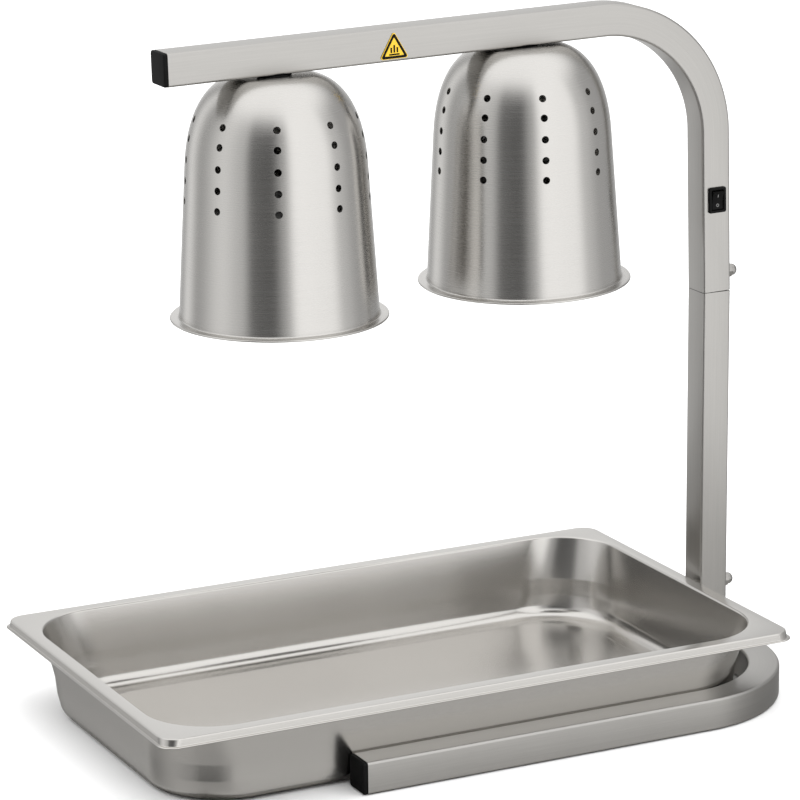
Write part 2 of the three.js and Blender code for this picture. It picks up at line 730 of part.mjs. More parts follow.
// The upper face of the pan's sheet from the raised middle of the floor out to the lip: inset from
// the lip, height, corner radius seen from above, bend radius and steps round the bend.
const PAN_PROFILE = [
  [70, 2.2, 30, 0, 0],
  [43.5, 2.2, 50, 3.5, 1],
  [40, 0.9, 53, 3.5, 1],
  [20.8, 0.9, 62, 11, 4],
  [18.7, 25, 60, 0, 0],
  [13.2, PAN_HEIGHT, 52, 1.8, 3],
  [2.1, PAN_HEIGHT, 14, 0.9, 2],
  [1.75, PAN_HEIGHT - 5.4, 13, 0.5, 1],
  [0.25, PAN_HEIGHT - 5.65, 12, 0, 0],
];

// Rounds the inner corners of a profile and gives [inset, z, corner radius] points.
function roundedProfile(corners) {
  const points = [];
  corners.forEach(([inset, z, cornerRadius, bend, steps], i) => {
    if (bend === 0) {
      points.push([inset, z, cornerRadius]);
      return;
    }
    const here = new THREE.Vector2(inset, z);
    const toBefore = new THREE.Vector2(corners[i - 1][0], corners[i - 1][1]).sub(here).normalize();
    const toAfter = new THREE.Vector2(corners[i + 1][0], corners[i + 1][1]).sub(here).normalize();
    const half = Math.acos(toBefore.dot(toAfter)) / 2;
    const start = here.clone().addScaledVector(toBefore, bend / Math.tan(half));
    const centre = toBefore.clone().add(toAfter).normalize()
      .multiplyScalar(bend / Math.sin(half)).add(here);
    const way = Math.sign(toAfter.cross(toBefore));
    for (let step = 0; step <= steps; step += 1) {
      const turn = way * (step / steps) * (Math.PI - 2 * half);
      const place = start.clone().rotateAround(centre, turn);
      points.push([place.x, place.y, cornerRadius]);
    }
  });
  return points;
}

function buildPan() {
  const upperFace = roundedProfile(PAN_PROFILE);
  const underFace = upperFace.map(([inset, z, cornerRadius], i) => {
    const before = upperFace[Math.max(0, i - 1)];
    const after = upperFace[Math.min(upperFace.length - 1, i + 1)];
    const length = Math.hypot(after[0] - before[0], after[1] - before[1]);
    const outward = PAN_SHEET * (after[1] - before[1]) / length;
    const down = PAN_SHEET * (before[0] - after[0]) / length;
    return [inset - outward, z - down, cornerRadius + outward];
  });
  const lipEdge = [[0.2, PAN_HEIGHT - 6.4, 12], [0, PAN_HEIGHT - 5.95, 12]];
  const skin = [...underFace, ...lipEdge, ...upperFace.reverse()];
  const rings = skin.map(([inset, z, cornerRadius]) => [
    PAN_LENGTH / 2 - inset, PAN_WIDTH / 2 - inset, cornerRadius, z,
  ]);
  add(unit, 'gastronorm_pan', loft(rings, 6), 'pan');
}

// ---------------------------------------------------------------- assembly

buildBase();
buildColumn();
buildColumnJoint();
buildArm();
buildLabel();
buildSwitch();
buildInlet();
buildWiring();
LAMPS.forEach(buildLamp);
buildPan();

// The origin is the middle of the whole unit on the counter.
const nutTip = COLUMN_X + TUBE / 2 + 2 * GAP + WASHER_THICKNESS + CAP_NUT_HEIGHT;
unit.position.x = -(nutTip - PAN_LENGTH / 2) / 2;

export default unit;
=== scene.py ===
"""Looks of the two-lamp infrared food warmer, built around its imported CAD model.

Lengths in the tables below are millimetres, turned into metres as each mesh is made.
"""

import json
import math

import bpy
from mathutils import Matrix, Vector


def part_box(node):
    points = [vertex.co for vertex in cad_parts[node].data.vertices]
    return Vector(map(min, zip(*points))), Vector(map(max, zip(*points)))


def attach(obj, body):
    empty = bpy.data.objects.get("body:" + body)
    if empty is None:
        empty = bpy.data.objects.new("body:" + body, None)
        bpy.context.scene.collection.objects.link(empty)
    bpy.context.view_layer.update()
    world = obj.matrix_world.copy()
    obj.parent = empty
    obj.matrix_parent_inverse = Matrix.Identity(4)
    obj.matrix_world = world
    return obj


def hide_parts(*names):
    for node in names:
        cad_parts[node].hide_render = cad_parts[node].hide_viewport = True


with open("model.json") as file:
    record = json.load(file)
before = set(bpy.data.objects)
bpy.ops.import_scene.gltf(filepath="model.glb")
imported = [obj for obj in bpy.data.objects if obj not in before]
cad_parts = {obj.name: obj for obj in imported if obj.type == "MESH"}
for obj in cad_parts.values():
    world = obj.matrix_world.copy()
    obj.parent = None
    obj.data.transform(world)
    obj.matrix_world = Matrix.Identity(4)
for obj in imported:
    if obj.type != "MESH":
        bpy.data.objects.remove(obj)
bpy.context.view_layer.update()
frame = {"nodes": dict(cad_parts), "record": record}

MM = 0.001

# ---------------------------------------------------------------- dimensions, in millimetres

TUBE = 25.0
WALL = 1.5
TUBE_CORNER = 2.2
TUBE_INNER_CORNER = 0.9
BASE_BEND_RADIUS = 95.0
ARM_BEND_RADIUS = 98.0
BASE_WIDTH = 340.0
LEG_END_X = -107.0
COLUMN_X = 281.2
SEAM_Z = 301.6
ARM_Z = 528.4
ARM_END_X = -180.0
ARM_FOOT_RISE = 0.65
LEAN = math.radians(1.2)
GAP = 0.3

# Side, place along the arm, gap between the arm and the shade's crown, degrees out of square along
# and across the arm, degrees to the first vent column.
LAMPS = (("left", -90.5, 1.8, 0.8, 0.3, -113.4), ("right", 116.3, 1.0, 0.0, 0.9, -103.4))
SHADE_TOP = 1.5
SHADE_TOP_RADIUS = 33.0
SHOULDER_DROP = 68.0
SHOULDER_RADIUS = 68.3
SHADE_DROP = 183.0
SHADE_FOOT_RADIUS = 75.4
RIM_RADIUS = 82.5
SHADE_SHEET = 1.0
CURL = 1.3
LIP = 0.75
VENT_FIRST_DROP = 31.6
VENT_PITCH = 15.1
VENT_RADIUS = 2.8
VENT_COLUMNS = 9
VENT_ROWS = 5
NIPPLE_HOLE_RADIUS = 5.3

BULB_NECK_DROP = 43.0
BULB_END_DROP = 150.0
BULB_RADIUS = 60.5
BULB_SKIN = 1.4

LOWER_NUT_Z = 57.7
UPPER_NUT_Z = 315.0
STUD_HOLE_RADIUS = 3.3
HOLE_DEPTH = 4.0
INLET_Z = 348.0
INLET_HOLE_RADIUS = 5.3

SWITCH_Z = 376.4
SWITCH_BODY_X = 6.45
SWITCH_BODY_Y = 9.2
BEZEL_X = 7.8
BEZEL_Y = 10.2
PIN_RADIUS = 0.9
ROCKER_REST = math.radians(8.4)
ROCKER_HALF = 4.8
ROCKER_REACH = 7.4
PAD_REACH = 0.94 * ROCKER_REACH
PAD_VALLEY = 1.5
PAD_CREST = 2.53
PAD_DISH = 0.35
MARK_GAP = 0.03
MARK_THICK = 0.09

LABEL_X = 2.2
LABEL_SIDE = 24.2
LABEL_CORNER = 1.5
LABEL_DROP = 3.2
LABEL_THICK = 0.4
INK_THICK = 0.04

PAN_LENGTH = 530.0
PAN_WIDTH = 325.0
PAN_SHEET = 0.9
# Inner face of the pan from its floor to its rim, as inset from the rim's edge, height, corner
# radius seen from above and fillet radius.
PAN_PROFILE = (
    (110, 2.2, 18, 0),
    (43.5, 2.2, 50, 3.5),
    (40, 0.9, 53, 3.5),
    (20.8, 0.9, 62, 11),
    (18.7, 25, 60, 300),
    (13.2, 65, 52, 1.8),
    (2.1, 65, 14, 0.9),
    (1.75, 59.6, 13, 0.5),
    (0.25, 59.35, 12, 0),
)
# The rim's folded edge, as inset, height and corner radius.
PAN_EDGE = ((0.2, 58.6, 12), (0, 58.85, 12), (0, 59.1, 12))



def shift(x, y, z):
    return Matrix.Translation((x * MM, y * MM, z * MM))


# The pan stands at the middle of its own CAD box; the rest is placed from there.
pan_low, pan_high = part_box("gastronorm_pan")
PAN_CENTRE = Vector(((pan_low.x + pan_high.x) / 2, (pan_low.y + pan_high.y) / 2, 0))

LOWER = Matrix.Translation(PAN_CENTRE)
COLUMN = LOWER @ shift(COLUMN_X, 0, 0)
UPPER = LOWER @ shift(COLUMN_X, 0, SEAM_Z) @ Matrix.Rotation(-LEAN, 4, "Y")


# ---------------------------------------------------------------- node helpers


class Shader:
    """Builds one material out of nodes."""

    def __init__(self, name, colour, roughness, metallic=0.0, **sockets):
        self.material = bpy.data.materials.new(name)
        self.material.use_nodes = True
        self.tree = self.material.node_tree
        self.surface = self.tree.nodes["Principled BSDF"]
        self.surface.inputs["Base Color"].default_value = (*colour, 1)
        self.surface.inputs["Roughness"].default_value = roughness
        self.surface.inputs["Metallic"].default_value = metallic
        for socket, value in sockets.items():
            self.surface.inputs[socket.replace("_", " ")].default_value = value

    def feed(self, socket, value):
        """Links an input to another node's output, or sets it to a plain value."""
        if isinstance(value, bpy.types.NodeSocket):
            self.tree.links.new(value, socket)
        else:
            socket.default_value = value

    def node(self, kind, settings=None, **inputs):
        """Adds a node and feeds each named input."""
        node = self.tree.nodes.new(kind)
        for key, value in (settings or {}).items():
            setattr(node, key, value)
        for key, value in inputs.items():
            self.feed(node.inputs[key.replace("_", " ")], value)
        return node

    def to_surface(self, socket, output):
        self.tree.links.new(output, self.surface.inputs[socket])

    def noise(self, vector, scale, detail=3.0, roughness=0.55):
        node = self.node("ShaderNodeTexNoise", Vector=vector, Scale=scale, Detail=detail, Roughness=roughness)
        return node.outputs["Fac"]

    def stretched(self, vector, scale):
        node = self.node("ShaderNodeMapping", Vector=vector, Scale=scale)
        return node.outputs["Vector"]

    def spread(self, value, low, high, start=0.3, end=0.7):
        """Maps a noise value from start..end to low..high."""
        node = self.node("ShaderNodeMapRange", Value=value, From_Min=start, From_Max=end,
                         To_Min=low, To_Max=high)
        return node.outputs["Result"]

    def math(self, operation, first, second):
        node = self.node("ShaderNodeMath", {"operation": operation})
        self.feed(node.inputs[0], first)
        self.feed(node.inputs[1], second)
        return node.outputs[0]

    def tint(self, factor, dark, light):
        ends = {"A": (*dark, 1), "B": (*light, 1)}
        node = self.node("ShaderNodeMix", {"data_type": "RGBA"}, Factor=factor, **ends)
        return node.outputs["Result"]

    def bump(self, height, distance, strength=1.0):
        node = self.node("ShaderNodeBump", Height=height, Distance=distance, Strength=strength)
        self.tree.links.new(node.outputs["Normal"], self.surface.inputs["Normal"])

    def place(self):
        return self.node("ShaderNodeTexCoord").outputs["Object"]

    def follow_grain(self):
        tangent = self.node("ShaderNodeTangent", {"direction_type": "UV_MAP", "uv_map": "grain"})
        self.to_surface("Tangent", tangent.outputs["Tangent"])

    def grain(self):
        return self.node("ShaderNodeUVMap", {"uv_map": "grain"}).outputs["UV"]


PAN_COLOUR = (0.6, 0.585, 0.561)


def brushed_steel(name, colour, roughness, pitch, length, anisotropy, contrast, bump):
    """Steel with lines along the grain map's first axis.

    pitch and length are the spacing and the run of the visible lines, in millimetres."""
    shade = Shader(name, colour, roughness, 1.0, Anisotropic=anisotropy, Anisotropic_Rotation=0.25)
    grain = shade.grain()
    shade.follow_grain()
    lines = shade.noise(shade.stretched(grain, (1000 / length, 1000 / pitch, 1)), 1.0, 4.0, 0.65)
    fine = shade.noise(shade.stretched(grain, (4000 / length, 6000 / pitch, 1)), 1.0, 2.0)
    patches = shade.noise(shade.place(), 14.0, 3.0)
    both = shade.math("ADD", shade.math("MULTIPLY", lines, 0.65), shade.math("MULTIPLY", fine, 0.35))
    dark = tuple(c * (1 - contrast) for c in colour)
    light = tuple(min(1, c * (1 + contrast)) for c in colour)
    tone = shade.math("ADD", shade.math("MULTIPLY", both, 0.8), shade.math("MULTIPLY", patches, 0.2))
    shade.to_surface("Base Color", shade.tint(shade.spread(tone, 0, 1), dark, light))
    streaks = shade.spread(both, roughness - 0.05, roughness + 0.06)
    smudges = shade.spread(patches, -0.02, 0.03)
    shade.to_surface("Roughness", shade.math("ADD", streaks, smudges))
    shade.bump(both, bump * MM)
    return shade.material


def pressed_steel():
    """Satin sheet of the pan: a fine rolled grain and a faint cloudy polish."""
    shade = Shader("pan_steel", PAN_COLOUR, 0.2, 1.0, Anisotropic=0.2, Anisotropic_Rotation=0.25)
    shade.follow_grain()
    place = shade.place()
    rolled = shade.noise(shade.stretched(place, (40, 2600, 2600)), 1.0, 2.0)
    clouds = shade.noise(place, 7.0, 3.0)
    tone = shade.math("ADD", shade.math("MULTIPLY", rolled, 0.4), shade.math("MULTIPLY", clouds, 0.6))
    dark = tuple(c * 0.965 for c in PAN_COLOUR)
    light = tuple(c * 1.03 for c in PAN_COLOUR)
    shade.to_surface("Base Color", shade.tint(shade.spread(tone, 0, 1), dark, light))
    polish = shade.math("ADD", shade.spread(clouds, 0.18, 0.215), shade.spread(rolled, -0.01, 0.015))
    shade.to_surface("Roughness", polish)
    shade.bump(rolled, 0.002 * MM)
    return shade.material


def moulded(name, colour, roughness, grain=1800.0, bump=0.02, specular=0.12):
    """Moulded plastic with a fine spark-eroded grain."""
    shade = Shader(name, colour, roughness, Specular_IOR_Level=specular)
    place = shade.place()
    spark = shade.noise(place, grain, 2.0)
    cloud = shade.noise(place, 60.0, 3.0)
    light = tuple(min(1, c * 1.35 + 0.002) for c in colour)
    shade.to_surface("Base Color", shade.tint(shade.spread(cloud, 0, 1), colour, light))
    patches = shade.spread(cloud, roughness - 0.05, roughness + 0.05)
    shade.to_surface("Roughness", shade.math("ADD", patches, shade.spread(spark, -0.03, 0.05)))
    shade.bump(spark, bump * MM)
    return shade.material


def plain_metal(name, colour, roughness, scale=240.0, bump=0.01, spread=0.06):
    """Machined or plated metal with fine scuffs and a cloudy polish."""
    shade = Shader(name, colour, roughness, 1.0)
    place = shade.place()
    scuffs = shade.noise(shade.stretched(place, (scale, scale, scale * 3)), 1.0, 5.0, 0.7)
    cloud = shade.noise(place, 80.0, 3.0)
    dark = tuple(c * 0.88 for c in colour)
    light = tuple(min(1, c * 1.07) for c in colour)
    shade.to_surface("Base Color", shade.tint(shade.spread(cloud, 0, 1), dark, light))
    worn = shade.spread(scuffs, roughness - spread, roughness + spread)
    shade.to_surface("Roughness", shade.math("ADD", worn, shade.spread(cloud, -0.03, 0.03)))
    shade.bump(scuffs, bump * MM)
    return shade.material


def porcelain():
    """White glaze with faint clouds and fine specks."""
    shade = Shader("porcelain", (0.9, 0.88, 0.83), 0.2, Coat_Weight=0.6, Coat_Roughness=0.08)
    place = shade.place()
    cloud = shade.noise(place, 45.0, 4.0)
    specks = shade.noise(place, 900.0, 1.0)
    glaze = shade.tint(shade.spread(cloud, 0, 1), (0.86, 0.835, 0.78), (0.93, 0.92, 0.88))
    shade.to_surface("Base Color", glaze)
    shade.to_surface("Roughness", shade.spread(specks, 0.16, 0.3))
    shade.bump(cloud, 0.08 * MM)
    return shade.material


def lens_glass():
    """Pressed front glass of the lamp, with a pebbled inner face and a faint dust bloom."""
    shade = Shader("lens_glass", (0.93, 0.94, 0.94), 0.12, Transmission_Weight=0.85, IOR=1.5)
    place = shade.place()
    pebbles = shade.node("ShaderNodeTexVoronoi", {"feature": "SMOOTH_F1"}, Vector=place, Scale=420.0)
    bloom = shade.noise(place, 30.0, 3.0)
    shade.to_surface("Roughness", shade.spread(bloom, 0.08, 0.2))
    dust = shade.tint(shade.spread(bloom, 0, 1), (0.9, 0.91, 0.9), (0.96, 0.97, 0.97))
    shade.to_surface("Base Color", dust)
    shade.bump(pebbles.outputs["Distance"], 0.9 * MM, 0.8)
    return shade.material


def woven_sleeve():
    """Heat-resistant sleeve of the leads: a diagonal weave with a little fuzz."""
    shade = Shader("woven_sleeve", (0.3, 0.31, 0.33), 0.75)
    place = shade.place()
    weave = shade.node("ShaderNodeTexWave", {"bands_direction": "DIAGONAL"},
                       Vector=place, Scale=420.0, Distortion=2.0)
    fuzz = shade.noise(place, 1500.0, 2.0)
    shade.to_surface("Base Color", shade.tint(weave.outputs["Fac"], (0.24, 0.25, 0.27), (0.4, 0.41, 0.43)))
    shade.to_surface("Roughness", shade.spread(fuzz, 0.65, 0.85))
    shade.bump(weave.outputs["Fac"], 0.15 * MM)
    return shade.material


def film(name, colour, roughness, specular=0.4):
    """Printed label film with slight ink mottle."""
    shade = Shader(name, colour, roughness, Specular_IOR_Level=specular)
    place = shade.place()
    mottle = shade.noise(place, 700.0, 3.0)
    dark = tuple(c * 0.93 for c in colour)
    shade.to_surface("Base Color", shade.tint(shade.spread(mottle, 0, 1), dark, colour))
    shade.to_surface("Roughness", shade.spread(mottle, roughness - 0.05, roughness + 0.08))
    shade.bump(mottle, 0.01 * MM)
    return shade.material


MATERIALS = {
    "satin_tube": brushed_steel("tube_steel", (0.47, 0.459, 0.44), 0.33, 1.6, 120, 0.45, 0.09, 0.01),
    "spun_shade": brushed_steel("shade_steel", (0.6, 0.586, 0.564), 0.25, 1.1, 160, 0.7, 0.016, 0.0018),
    "pan_steel": pressed_steel(),
    "joiner_steel": plain_metal("joiner_steel", (0.42, 0.42, 0.41), 0.42),
    "fastener_steel": plain_metal("fastener_steel", (0.4, 0.39, 0.375), 0.3),
    "brass": plain_metal("brass", (0.72, 0.55, 0.24), 0.3),
    "black_plastic": moulded("black_plastic", (0.003, 0.003, 0.003), 0.62),
    "switch_plastic": moulded("switch_plastic", (0.002, 0.002, 0.002), 0.5, 2600.0, 0.008),
    "porcelain": porcelain(),
    "bulb_glass": lens_glass(),
    "label_film": film("label_yellow", (0.86, 0.56, 0.03), 0.35),
    "block_plastic": moulded("block_plastic", (0.72, 0.7, 0.62), 0.5),
    "wire_sleeve": woven_sleeve(),
}
# The lamp's silvered bowl is given a dark grey in place of bright silvering. This is painted shade, so the
# inside of the lampshade seen through the vents reads dark.
SILVERING_PAINTED_SHADE = plain_metal("bulb_silvering_painted_shade", (0.3, 0.3, 0.295), 0.35, 60.0, 0.02, 0.03)
LABEL_INK = film("label_ink", (0.004, 0.004, 0.004), 0.5, 0.12)
MARK_PAINT = film("mark_paint", (0.2, 0.2, 0.195), 0.5)


# ---------------------------------------------------------------- mesh helpers


def add_object(name, data):
    made = bpy.data.objects.new(name, data)
    bpy.context.scene.collection.objects.link(made)
    return made


def make_piece(name, vertices, faces, uvs, matrix, body, slot, replaces=(), material=None, sharp=32.0):
    """A finished piece from vertices in millimetres, faces and one UV pair per face corner."""
    mesh = bpy.data.meshes.new(name)
    mesh.from_pydata([Vector(v) * MM for v in vertices], [], faces)
    layer = mesh.uv_layers.new(name="grain")
    if uvs:
        flat = [value * MM for corner in uvs for value in corner]
        layer.data.foreach_set("uv", flat)
    mesh.materials.append(material or MATERIALS[slot])
    mesh.update()
    mesh.validate()
    mesh.shade_smooth()
    mesh.set_sharp_from_angle(angle=math.radians(sharp))
    piece = add_object(name, mesh)
    piece.matrix_world = matrix
    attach(piece, body)
    if replaces:
        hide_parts(*replaces)
    return piece


def grid(rows, wrap_rows=False, caps=False, along=None, across=None):
    """Vertices, faces and corner UVs of a skin over rows of points, each row a closed ring.

    wrap_rows joins the last row to the first. caps closes the first and last rows with a face."""
    width = len(rows[0])
    vertices = [point for row in rows for point in row]
    if along is None:
        along = [0.0]
        for before, after in zip(rows, rows[1:] + rows[:1]):
            along.append(along[-1] + (Vector(after[0]) - Vector(before[0])).length)
    if across is None:
        across = [0.0]
        middle = rows[len(rows) // 2]
        for before, after in zip(middle, middle[1:] + middle[:1]):
            across.append(across[-1] + (Vector(after) - Vector(before)).length)
    faces = []
    uvs = []
    for i in range(len(rows) if wrap_rows else len(rows) - 1):
        below = ((i + 1) % len(rows)) * width
        for j in range(width):
            k = (j + 1) % width
            faces.append((i * width + j, i * width + k, below + k, below + j))
            uvs += [(along[i], across[j]), (along[i], across[j + 1])]
            uvs += [(along[i + 1], across[j + 1]), (along[i + 1], across[j])]
    if caps:
        last = (len(rows) - 1) * width
        for face in (tuple(reversed(range(width))), tuple(range(last, last + width))):
            faces.append(face)
            uvs += [(vertices[v][0], vertices[v][1]) for v in face]
    return vertices, faces, uvs


def at_height(outline, z):
    return [(x, y, z) for x, y in outline]


def ring(radius, z, segments):
    angles = [2 * math.pi * j / segments for j in range(segments)]
    return [(radius * math.cos(angle), radius * math.sin(angle), z) for angle in angles]


def lathe(profile, segments):
    """A turned body. profile is a closed loop of (radius, z), or starts and ends on the axis."""
    open_ends = profile[0][0] == 0 and profile[-1][0] == 0
    steps = profile[1:-1] if open_ends else profile
    rows = [ring(radius, z, segments) for radius, z in steps]
    run = [0.0]
    for before, after in zip(steps, steps[1:] + steps[:1]):
        run.append(run[-1] + math.dist(before, after))
    girth = 2 * math.pi * max(radius for radius, _ in steps)
    round_it = [girth * j / segments for j in range(segments + 1)]
    vertices, faces, uvs = grid(rows, not open_ends, open_ends, run, round_it)
    # The grain runs round the axis, so the map's first axis is the way round.
    return vertices, faces, [(v, u) for u, v in uvs]


def rounded_square(half_x, half_y, radius, steps):
    """Points round a rectangle with rounded corners, each corner in as many steps."""
    points = []
    for quarter, (sx, sy) in enumerate(((1, 1), (-1, 1), (-1, -1), (1, -1))):
        for step in range(steps + 1):
            angle = (quarter + step / steps) * math.pi / 2
            x = sx * (half_x - radius) + radius * math.cos(angle)
            y = sy * (half_y - radius) + radius * math.sin(angle)
            points.append((x, y))
    return points


def loft(stations, steps):
    """Rows through rounded rectangles, each (half x, half y, corner radius, z)."""
    return [at_height(rounded_square(a, b, r, steps), z) for a, b, r, z in stations]


def bezier(a, b, c, d, steps):
    """Points along a cubic curve from a to d, pulled towards b and c."""
    points = []
    for step in range(steps + 1):
        t = step / steps
        points.append(a * (1 - t) ** 3 + b * 3 * t * (1 - t) ** 2 + c * 3 * t * t * (1 - t) + d * t ** 3)
    return points


def one_sheet_in(points, sheet):
    """The inner face of a turned sheet, from its outer face as (radius, drop) points."""
    inside = []
    for i, point in enumerate(points):
        before, after = points[max(0, i - 1)], points[min(len(points) - 1, i + 1)]
        way = (after - before).normalized()
        inside.append(point + Vector((-way.y, way.x)) * sheet)
    return inside


def fillet_path(corners, steps_per_corner=6):
    """A polyline of (inset, z, corner radius, fillet radius) with its inner corners rounded.

    Gives (inset, z, corner radius) points. Round a fillet the corner radius grows as the inset
    shrinks, so that the corner keeps one centre."""
    points = [corners[0][:3]]
    for before, here, after in zip(corners, corners[1:], corners[2:]):
        p, q, r = (Vector(c[:2]) for c in (before, here, after))
        to_before, to_after = (p - q).normalized(), (r - q).normalized()
        half = to_before.angle(to_after) / 2
        radius = here[3]
        if radius <= 0:
            points.append(here[:3])
            continue
        back = radius / math.tan(half)
        start, end = q + to_before * back, q + to_after * back
        centre = q + (to_before + to_after).normalized() * (radius / math.sin(half))
        sweep = (start - centre).angle_signed(end - centre)
        for step in range(steps_per_corner + 1):
            t = step / steps_per_corner
            turn = Matrix.Rotation(-sweep * t, 2)
            place = centre + turn @ (start - centre)
            points.append((place.x, place.y, here[2] + here[0] - place.x))
    points.append(corners[-1][:3])
    return points


def carve(piece, tools):
    """Cuts the tools' meshes out of a piece and keeps the result as plain mesh."""
    for tool in tools:
        change = piece.modifiers.new("cut", "BOOLEAN")
        change.operation = "DIFFERENCE"
        change.solver = "EXACT"
        change.object = tool
    bpy.context.view_layer.update()
    evaluated = piece.evaluated_get(bpy.context.evaluated_depsgraph_get())
    mesh = bpy.data.meshes.new_from_object(evaluated)
    piece.modifiers.clear()
    piece.data = mesh
    mesh.shade_smooth()
    mesh.set_sharp_from_angle(angle=math.radians(30))
    for tool in tools:
        bpy.data.objects.remove(tool)


def cutter(rows_list, matrix):
    """One temporary object holding several closed skins."""
    vertices = []
    faces = []
    for rows in rows_list:
        part, part_faces, _ = grid(rows, caps=True)
        offset = len(vertices)
        vertices += part
        faces += [tuple(v + offset for v in face) for face in part_faces]
    mesh = bpy.data.meshes.new("cutter")
    mesh.from_pydata([Vector(v) * MM for v in vertices], [], faces)
    tool = add_object("cutter", mesh)
    tool.matrix_world = matrix
    return tool


def drill(start, end, radius, segments=32):
    """Rows of a cylinder between two points."""
    start, end = Vector(start), Vector(end)
    turn = (end - start).to_track_quat("Z", "Y")
    circle = ring(radius, 0, segments)
    return [[tuple(place + turn @ Vector(point)) for point in circle] for place in (start, end)]


def wall_hole(way, z, radius):
    """Rows of a drill through the column's wall, on the side that way points to."""
    inside, outside = TUBE / 2 - HOLE_DEPTH, TUBE / 2 + HOLE_DEPTH
    return drill((way[0] * inside, way[1] * inside, z), (way[0] * outside, way[1] * outside, z), radius)


# ---------------------------------------------------------------- bent square tubes


def bent_path(start, direction, moves, radius):
    """Stations (place, tangent) along straights and quarter bends.

    A move is a length, or the unit vector that a quarter bend turns towards."""
    place, tangent = Vector(start), Vector(direction)
    stations = [(place.copy(), tangent.copy())]
    steps = 40
    for move in moves:
        if isinstance(move, (int, float)):
            place = place + tangent * move
            stations.append((place.copy(), tangent.copy()))
            continue
        side = Vector(move)
        centre = place + side * radius
        start_tangent = tangent.copy()
        for step in range(1, steps + 1):
            angle = step / steps * math.pi / 2
            place = centre - side * (radius * math.cos(angle)) + start_tangent * (radius * math.sin(angle))
            tangent = start_tangent * math.cos(angle) + side * math.sin(angle)
            stations.append((place.copy(), tangent.copy()))
    return stations


def tube_rows(stations, level):
    """Rows of the hollow tube: down the outside and back up the inside.

    level is the unit vector that stays square to the path."""
    level = Vector(level)
    outer = rounded_square(TUBE / 2, TUBE / 2, TUBE_CORNER, 5)
    inner = rounded_square(TUBE / 2 - WALL, TUBE / 2 - WALL, TUBE_INNER_CORNER, 5)
    rows = []
    for outline, order in ((outer, stations), (inner, stations[::-1])):
        for place, tangent in order:
            side = level.cross(tangent).normalized()
            rows.append([tuple(place + side * a + level * b) for a, b in outline])
    return rows


def tube_piece(name, stations, level, matrix, node):
    """One hollow tube, with its grain running along it."""
    rows = tube_rows(stations, level)
    run = [0.0]
    for (before, _), (after, _) in zip(stations, stations[1:]):
        run.append(run[-1] + (after - before).length)
    along = run + [run[-1] + WALL + (run[-1] - length) for length in reversed(run)]
    along.append(along[-1] + WALL)
    vertices, faces, uvs = grid(rows, wrap_rows=True, along=along)
    return make_piece(name, vertices, faces, uvs, matrix, "stand", "satin_tube", [node])


def build_base():
    """The U of the base, lying flat, with a plug in each leg."""
    leg_y = BASE_WIDTH / 2 - TUBE / 2
    straight = COLUMN_X - BASE_BEND_RADIUS - LEG_END_X
    moves = [straight, (0, 1, 0), 2 * (leg_y - BASE_BEND_RADIUS), (-1, 0, 0), straight]
    stations = bent_path((LEG_END_X, -leg_y, TUBE / 2), (1, 0, 0), moves, BASE_BEND_RADIUS)
    tube_piece("base_bow", stations, (0, 0, 1), LOWER, "base_tube")
    for name, side in (("front", -1), ("rear", 1)):
        end_cap(f"base_plug_{name}", LOWER @ shift(LEG_END_X, side * leg_y, TUBE / 2), f"base_cap_{name}")


def end_cap(name, matrix, node):
    """Moulded push-in cap: softly domed face, rounded rim and a ribbed plug."""
    face = TUBE / 2 - 0.1
    plug = TUBE / 2 - WALL - GAP
    stations = [(plug - 1.4, plug - 1.4, 1.2, -14.0), (plug - 0.9, plug - 0.9, 1.2, -13.6)]
    for z in (-12.5, -9.5, -6.5, -3.5):
        stations += [(plug - 0.7, plug - 0.7, 1, z - 1.0), (plug, plug, 1.3, z - 0.6)]
        stations += [(plug, plug, 1.3, z + 0.4), (plug - 0.7, plug - 0.7, 1, z + 0.9)]
    stations += [(plug - 0.7, plug - 0.7, 1, GAP), (face - 0.25, face - 0.25, 2.0, GAP)]
    stations += [(face, face, TUBE_CORNER, GAP + 0.25), (face, face, TUBE_CORNER, 2.2)]
    edge = 1.2
    for step in range(1, 6):
        angle = step / 5 * math.pi / 2
        inset = edge * (1 - math.cos(angle))
        stations.append((face - inset, face - inset, TUBE_CORNER - inset * 0.4, 2.2 + edge * math.sin(angle)))
    stations += [(face - 3.5, face - 3.5, 1.6, 3.55), (face - 7, face - 7, 1.2, 3.68), (2, 2, 0.8, 3.7)]
    vertices, faces, uvs = grid(loft(stations, 5), caps=True)
    turned = matrix @ Matrix.Rotation(-math.pi / 2, 4, "Y")
    make_piece(name, vertices, faces, uvs, turned, "stand", "black_plastic", [node])


def build_column():
    """The lower post, drilled for its bolt."""
    stations = [(Vector((0, 0, z)), Vector((0, 0, 1))) for z in (TUBE + GAP, LOWER_NUT_Z, SEAM_Z)]
    post = tube_piece("lower_post", stations, (0, 1, 0), COLUMN, "lower_column")
    carve(post, [cutter([wall_hole((1, 0), LOWER_NUT_Z, STUD_HOLE_RADIUS)], COLUMN)])


